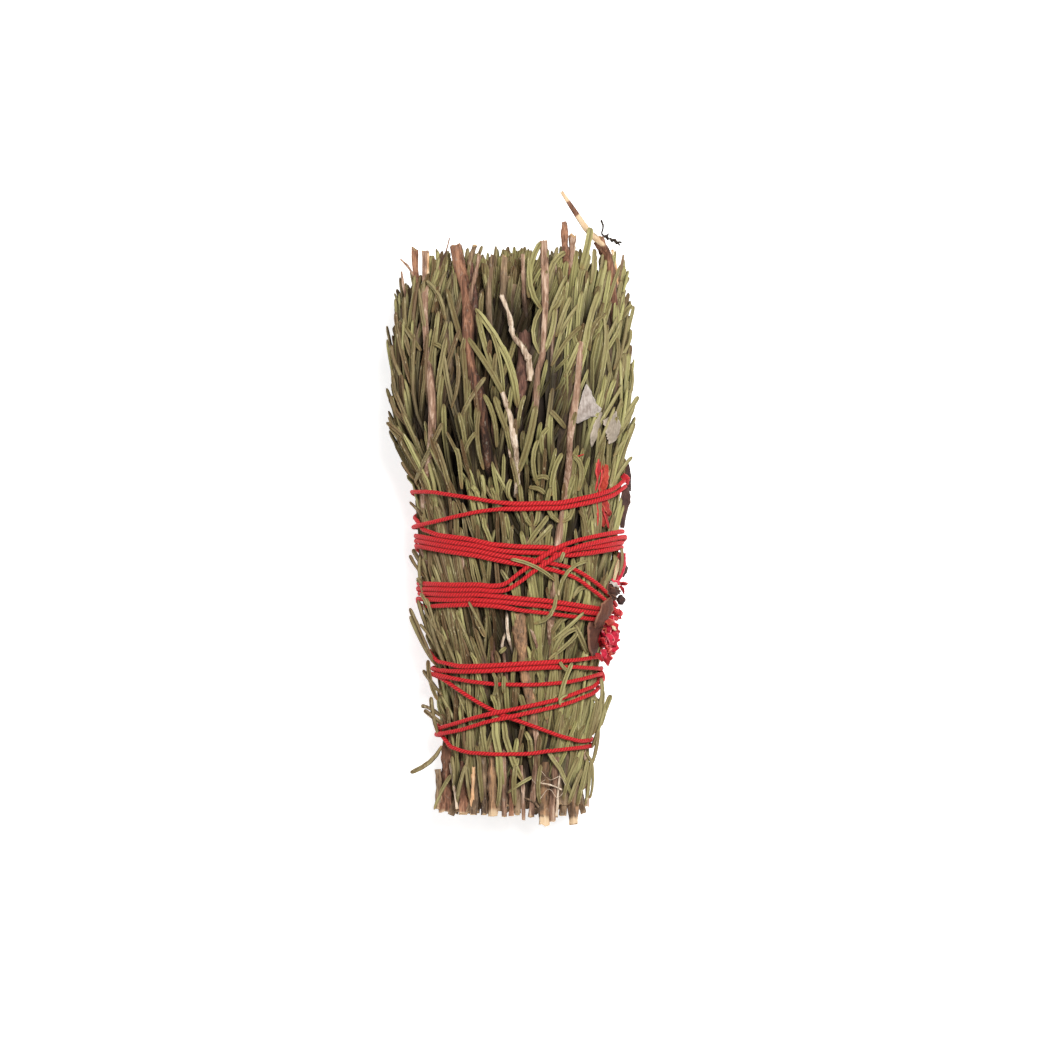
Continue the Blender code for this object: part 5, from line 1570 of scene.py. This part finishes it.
# Each sheet: look, route (pixel, then height above the table, or depth below the bundle's
# surface when under ten), half widths (or those of both sides), lean in degrees, ruffle
sheets = {
    "petalFoldedUpper": (
        ("orange", ((597, 461, 1.0), (601, 476, 1.6), (603, 495, 2.9), (605, 512, 2.4),
                    (601, 526, 2.2)), (1.0, 1.8, 1.7, 1.8, 0.7), 0, .35),
        ("petal", ((598, 459, .3), (597, 474, .7), (596, 490, 1.9)), (.35, .75, .5), -25, .2),
        ("orange", ((606, 465, .4), (605, 479, .6), (601, 492, 1.7)), (.3, .9, .7), 35, .25),
        ("petal", ((602, 470, .5), (600, 481, .9), (598, 492, 1.8)), (.15, .45, .5), -50, .15),
        ("petal", ((597, 500, 2.0), (598, 515, 1.4), (598, 531, 1.9)), (.55, .7, .5), -10, .25),
        ("orange", ((602, 498, 2.0), (606, 506, 1.2), (609, 516, 1.7)), (.6, 1.0, .4), 15, .3),
        ("petal", ((602, 508, 1.4), (606, 519, 1.1), (609, 530, 1.6)), (.2, .28, .2), 0, .05),
        ("petal", ((577, 457, .2), (583, 455, .2)), (.12, .1), 0, .02),
    ),
    "petalFoldedLower": (
        ("petal", ((621, 553, 22), (620, 561, 22.5), (617.5, 571, 23.5), (614, 580, 24.5)),
         (.9, 1.3, 1.1, .6), 40, .25),
        ("crimson", ((624, 553, 21.5), (623.5, 563, 21.5), (620, 575, 22.5), (616, 584, 24)),
         (.4, .7, .7, .3), 70, .15),
        ("cream", ((618.5, 560, 25.6), (616, 571, 27), (613.5, 581, 27.6)), (.2, .55, .25),
         30, .05),
        ("maroon", ((624, 564, 20), (624.5, 570, 20), (623, 577, 20.5)), (.3, .8, .3), 60, .15),
    ),
    "petalPoint": (
        ("petal", ((617, 583, 20.5), (621, 583.5, 20.6), (625, 583.7, 20.7), (628, 584, 20.8)),
         (.6, .9, .5, .1), 0, .15),
        ("petal", ((620, 586, 22), (622.5, 589, 22.3), (624, 594, 22)), (.35, .4, .1), 60, .05),
        ("crimson", ((611, 579, 27.6), (615, 582, 27.5), (619, 584, 26)), (.2, .6, .3), 20, .15),
    ),
    "petalTip": (
        ("petal", ((606, 650, 25), (606.5, 657, 25.5), (608, 666, 25.5)), (1.5, 1.2, .1), 42, .1),
        ("petal", ((596, 653, 29), (599, 656, 29.3), (602, 661, 28.5)), (.4, .6, .2), 20, .15),
        ("crimson", ((603, 649, 26.5), (604, 654, 26.8), (604, 659, 26)), (.6, .8, .2), 40, .15),
    ),
    "sheetDark": (
        ("maroon", ((626.5, 487, 21.5), (625.5, 500, 21.5), (623.5, 513, 21.5), (622, 528, 21.5)),
         (.9, 1.4, 1.0, .4), 52, .2),
        ("maroon", ((627.5, 463, 19.5), (628.5, 476, 19.5), (629, 491, 20)), (.3, .9, .5), 60, .1),
        ("petal", ((622, 475, 25.6), (626, 479, 24.8), (628, 484, 23.5)), (.7, .9, .3), 45, .1),
    ),
    "sepalPlate": (
        ("husk", ((600, 616, 1.9), (596, 624, .9), (594.5, 636, .3), (594.5, 647, .9),
                  (595.5, 657, 1.9)), ((1.5, 2.1, 2.2, 1.6, .3), (1.7, 2.7, 2.9, 2.1, .5)), 0, .3),
        ("husk", ((611, 600, -.6), (607, 608, -1.2), (602, 617, -1.1), (598, 627, -.1)),
         (.9, 2.1, 2.4, 1.2), 0, .35),
        ("cream", ((602.5, 632, 1.8), (604, 642, 2.1), (601, 652, 2.6)), (.12, .3, .15), 20, .05),
    ),
    "huskCrumpled": (
        ("husk", ((609, 583, 27.2), (612, 590, 28.2), (613, 600, 27)), (.6, 1.5, .7), 25, .45),
        ("husk", ((606, 590, 28.2), (612, 591, 28.8), (619, 593, 26)), (.5, 1.1, .5), 10, .4),
        ("paper", ((610, 582, 28.2), (614, 584, 28.4), (617, 586, 27)), (.3, .6, .3), 10, .15),
    ),
    "leafPaperyUpper": (
        ("paper", ((586, 386, .7), (584, 395, .7), (581, 405, .8), (578, 414, .9), (576, 424, 1.2)),
         ((.3, 2.4, 6.2, 4.3, .5), (.2, .4, .5, .5, .2)), 0, .2),
    ),
    "leafPaperyLower": (
        ("veil", ((608, 417, .4), (611, 426, .2), (613, 433, .2), (612, 441, .7)),
         ((2.4, 2.9, 2.8, 2.2), (2.0, 2.8, 2.6, 1.8)), 0, .2),
    ),
    "leafGreyOval": (
        ("veil", ((600, 413, 1.4), (597, 424, .9), (594, 436, .8), (591, 447, 1.5)),
         (.4, 1.3, 1.3, .3), -10, .15),
    ),
}
balls = {"budUpper": ((624.5, 568, 18.5), 1.0), "budLower": ((621, 600, 22.0), 1.25)}
sheetLooks = ["petal", "orange", "crimson", "maroon", "husk", "cream", "paper", "veil"]
sheet = {
    "thickness": 0.3,
    "cup": 0.22,                  # rise of its middle, as a share of its half width
    "torn": (-0.16, 0.12),        # how far its edges come in and go out by chance
    "lowest": 0.3,
    "tint": (0.3, 0.7),
    "surfaceBelow": 10.0,         # heights of a route under this are depths
}
ball = {"crumple": (0.16, 0.08), "shape": (0.85, 1.0, 0.85)}


def sheetPoint(spot):
    if spot[2] < sheet["surfaceBelow"]:
        return frontPoint(spot, spot[2])
    return np.array((*fromPhoto(spot), spot[2]))


def bendSheet(heap, draw, look, spine, halves, lean, ruffle, cup=sheet["cup"], outs=None):
    # a thin crumpled sheet with ragged edges along a spine
    rings, ring, across = sheetShape["rings"], sheetShape["ring"], sheetShape["x"] * 2
    line = curveThrough(spine, rings)
    outs = outward(line) if outs is None else np.tile(outs, (len(rings), 1))
    ahead = unit(np.gradient(line, axis=0))
    side = unit(np.cross(ahead, outs))
    up = np.cross(side, ahead)
    cosine, sine = math.cos(math.radians(lean)), math.sin(math.radians(lean))
    side, up = side * cosine - up * sine, up * cosine + side * sine
    pair = halves if np.ndim(halves[0]) else (halves, halves)
    widths = []
    for values in pair:
        torn = np.array([1 + draw.uniform(*sheet["torn"]) for _ in rings])
        widths.append(np.interp(rings, np.linspace(0, 1, len(values)), values) * torn)
    wide = np.where(across < 0, widths[0][ring], widths[1][ring])
    a, b, c = (draw.uniform(0, 6) for _ in range(3))
    t = rings[ring]
    height = cup * wide * (1 - across ** 2)
    height = height + ruffle * np.sin(t * 9 + a + across * 1.5) * np.abs(across) ** 1.4
    height = height + 0.4 * ruffle * np.sin(t * 17 + b) * np.sin(across * 4 + c)
    points = (line[ring] + side[ring] * (across * wide)[:, None]
              + up[ring] * (height + sheetShape["z"] * sheet["thickness"])[:, None])
    points[:, 2] = np.maximum(points[:, 2], sheet["lowest"])
    grain = np.zeros((1, len(points), 4))
    grain[..., 0] = draw.uniform(*sheet["tint"])
    grain[..., 1] = t
    grain[..., 2] = np.abs(across)
    heap.add(sheetShape, points[None], grain, sheetLooks.index(look))


def addBall(heap, draw, centre, radius, look):
    points = np.stack((ballShape["x"], ballShape["y"], ballShape["z"]), axis=-1)
    a, b = draw.uniform(0, 6), draw.uniform(0, 6)
    coarse, fine = ball["crumple"]
    crumple = 1 + coarse * np.sin(4 * points[:, 0] + a) * np.cos(5 * points[:, 1] + b)
    crumple += fine * np.sin(11 * points[:, 2] + 7 * points[:, 0])
    points = centre + points * (radius * crumple)[:, None] * np.array(ball["shape"])
    grain = np.full((1, len(points), 4), (0.5, 0.5, 0.2, 0.0))
    heap.add(ballShape, points[None], grain, sheetLooks.index(look))


def solidName(name):
    return "".join("_" + c.lower() if c.isupper() else c for c in name)


for name, parts in sheets.items():
    draw = random.Random(name)
    heap = Heap()
    for look, route, halves, lean, ruffle in parts:
        bendSheet(heap, draw, look, [sheetPoint(s) for s in route], halves, lean, ruffle)
    heap.piece(name, sheetLooks, [solidName(name)], 80.0)

for name, (spot, radius) in balls.items():
    draw = random.Random(name)
    heap = Heap()
    addBall(heap, draw, sheetPoint(spot), radius, "maroon")
    heap.piece(name, sheetLooks, [solidName(name)], 80.0)


flower = {
    "middle": (606.0, 638.0, 22.5),
    "heart": ((0.4, 0.0, 1.0), 2.4),    # how far under the middle, and its radius
    "petals": 36,
    "turn": (-0.9, 1.9),          # how far round a petal points, in radians
    "roots": (0.6, 3.4, 1.6),     # of an ellipsoid that the petals grow from
    "rootJitter": 0.6,
    "fan": 0.5,
    "upJitter": 0.8,
    "length": (1.4, 3.2),
    "width": (0.7, 1.5),
    "curl": (-1.0, 1.2),
    "halves": (0.5, 1.0, 0.9, 0.3),
    "ruffle": 0.3,
    "cup": 0.5,
    "looks": ("petal", "crimson", "crimson", "crimson", "petal", "orange"),
    "outer": (("orange", ((602, 619, 28.5), (608, 621, 28), (614, 625, 25)), (.4, .9, .4)),
              ("petal", ((611, 623, 26.5), (615, 626, 26), (617, 630, 24.5)), (.5, .9, .5)),
              ("cream", ((612, 626, 27), (614, 628, 27.2), (615, 630, 26.6)), (.2, .4, .2)),
              ("petal", ((619, 609, 23), (620, 614, 23.2), (620, 619, 22.8)), (.3, .35, .15)),
              ("crimson", ((612, 632, 26), (616, 637, 25.5), (614, 645, 25)), (.6, .9, .6)),
              ("crimson", ((606, 634, 28), (610, 637, 27.8), (611, 644, 26.8)), (.4, .8, .4))),
    "outerBend": (20.0, 0.2, 0.4),      # lean, ruffle and cup
}


def makeBloom():
    # crimson petals crumpled in a cluster down the side, dark between them
    draw = random.Random(11)
    heap = Heap()
    centre = sheetPoint(flower["middle"])
    under, radius = flower["heart"]
    addBall(heap, draw, centre - under, radius, "petal")
    for k in range(flower["petals"]):
        t = 2.0 * k / (flower["petals"] - 1) - 1.0
        turn = draw.uniform(*flower["turn"])
        cosine, sine = math.cos(turn), math.sin(turn)
        jitter, fan, tilt = flower["rootJitter"], flower["fan"], flower["upJitter"]
        root = np.array((cosine, -t, sine)) * flower["roots"] + centre
        root[1] += draw.uniform(-jitter, jitter)
        ahead = unit(np.array((cosine, draw.uniform(-fan, fan) - fan * t, sine)))
        up = np.array((-sine, draw.uniform(-tilt, tilt), cosine))
        length, wide = draw.uniform(*flower["length"]), draw.uniform(*flower["width"])
        curl = draw.uniform(*flower["curl"])
        spine = [root + ahead * (length * s) + up * (curl * s * s) for s in (0.0, 0.4, 0.75, 1.0)]
        look = draw.choice(flower["looks"])
        halves = [wide * share for share in flower["halves"]]
        bendSheet(heap, draw, look, spine, halves, 0.0, flower["ruffle"], flower["cup"], up)
    for look, route, halves in flower["outer"]:
        bendSheet(heap, draw, look, [sheetPoint(s) for s in route], halves, *flower["outerBend"])
    heap.piece("bloom", sheetLooks, ["bloom"], 80.0)


makeBloom()
print("flower and papery leaves")
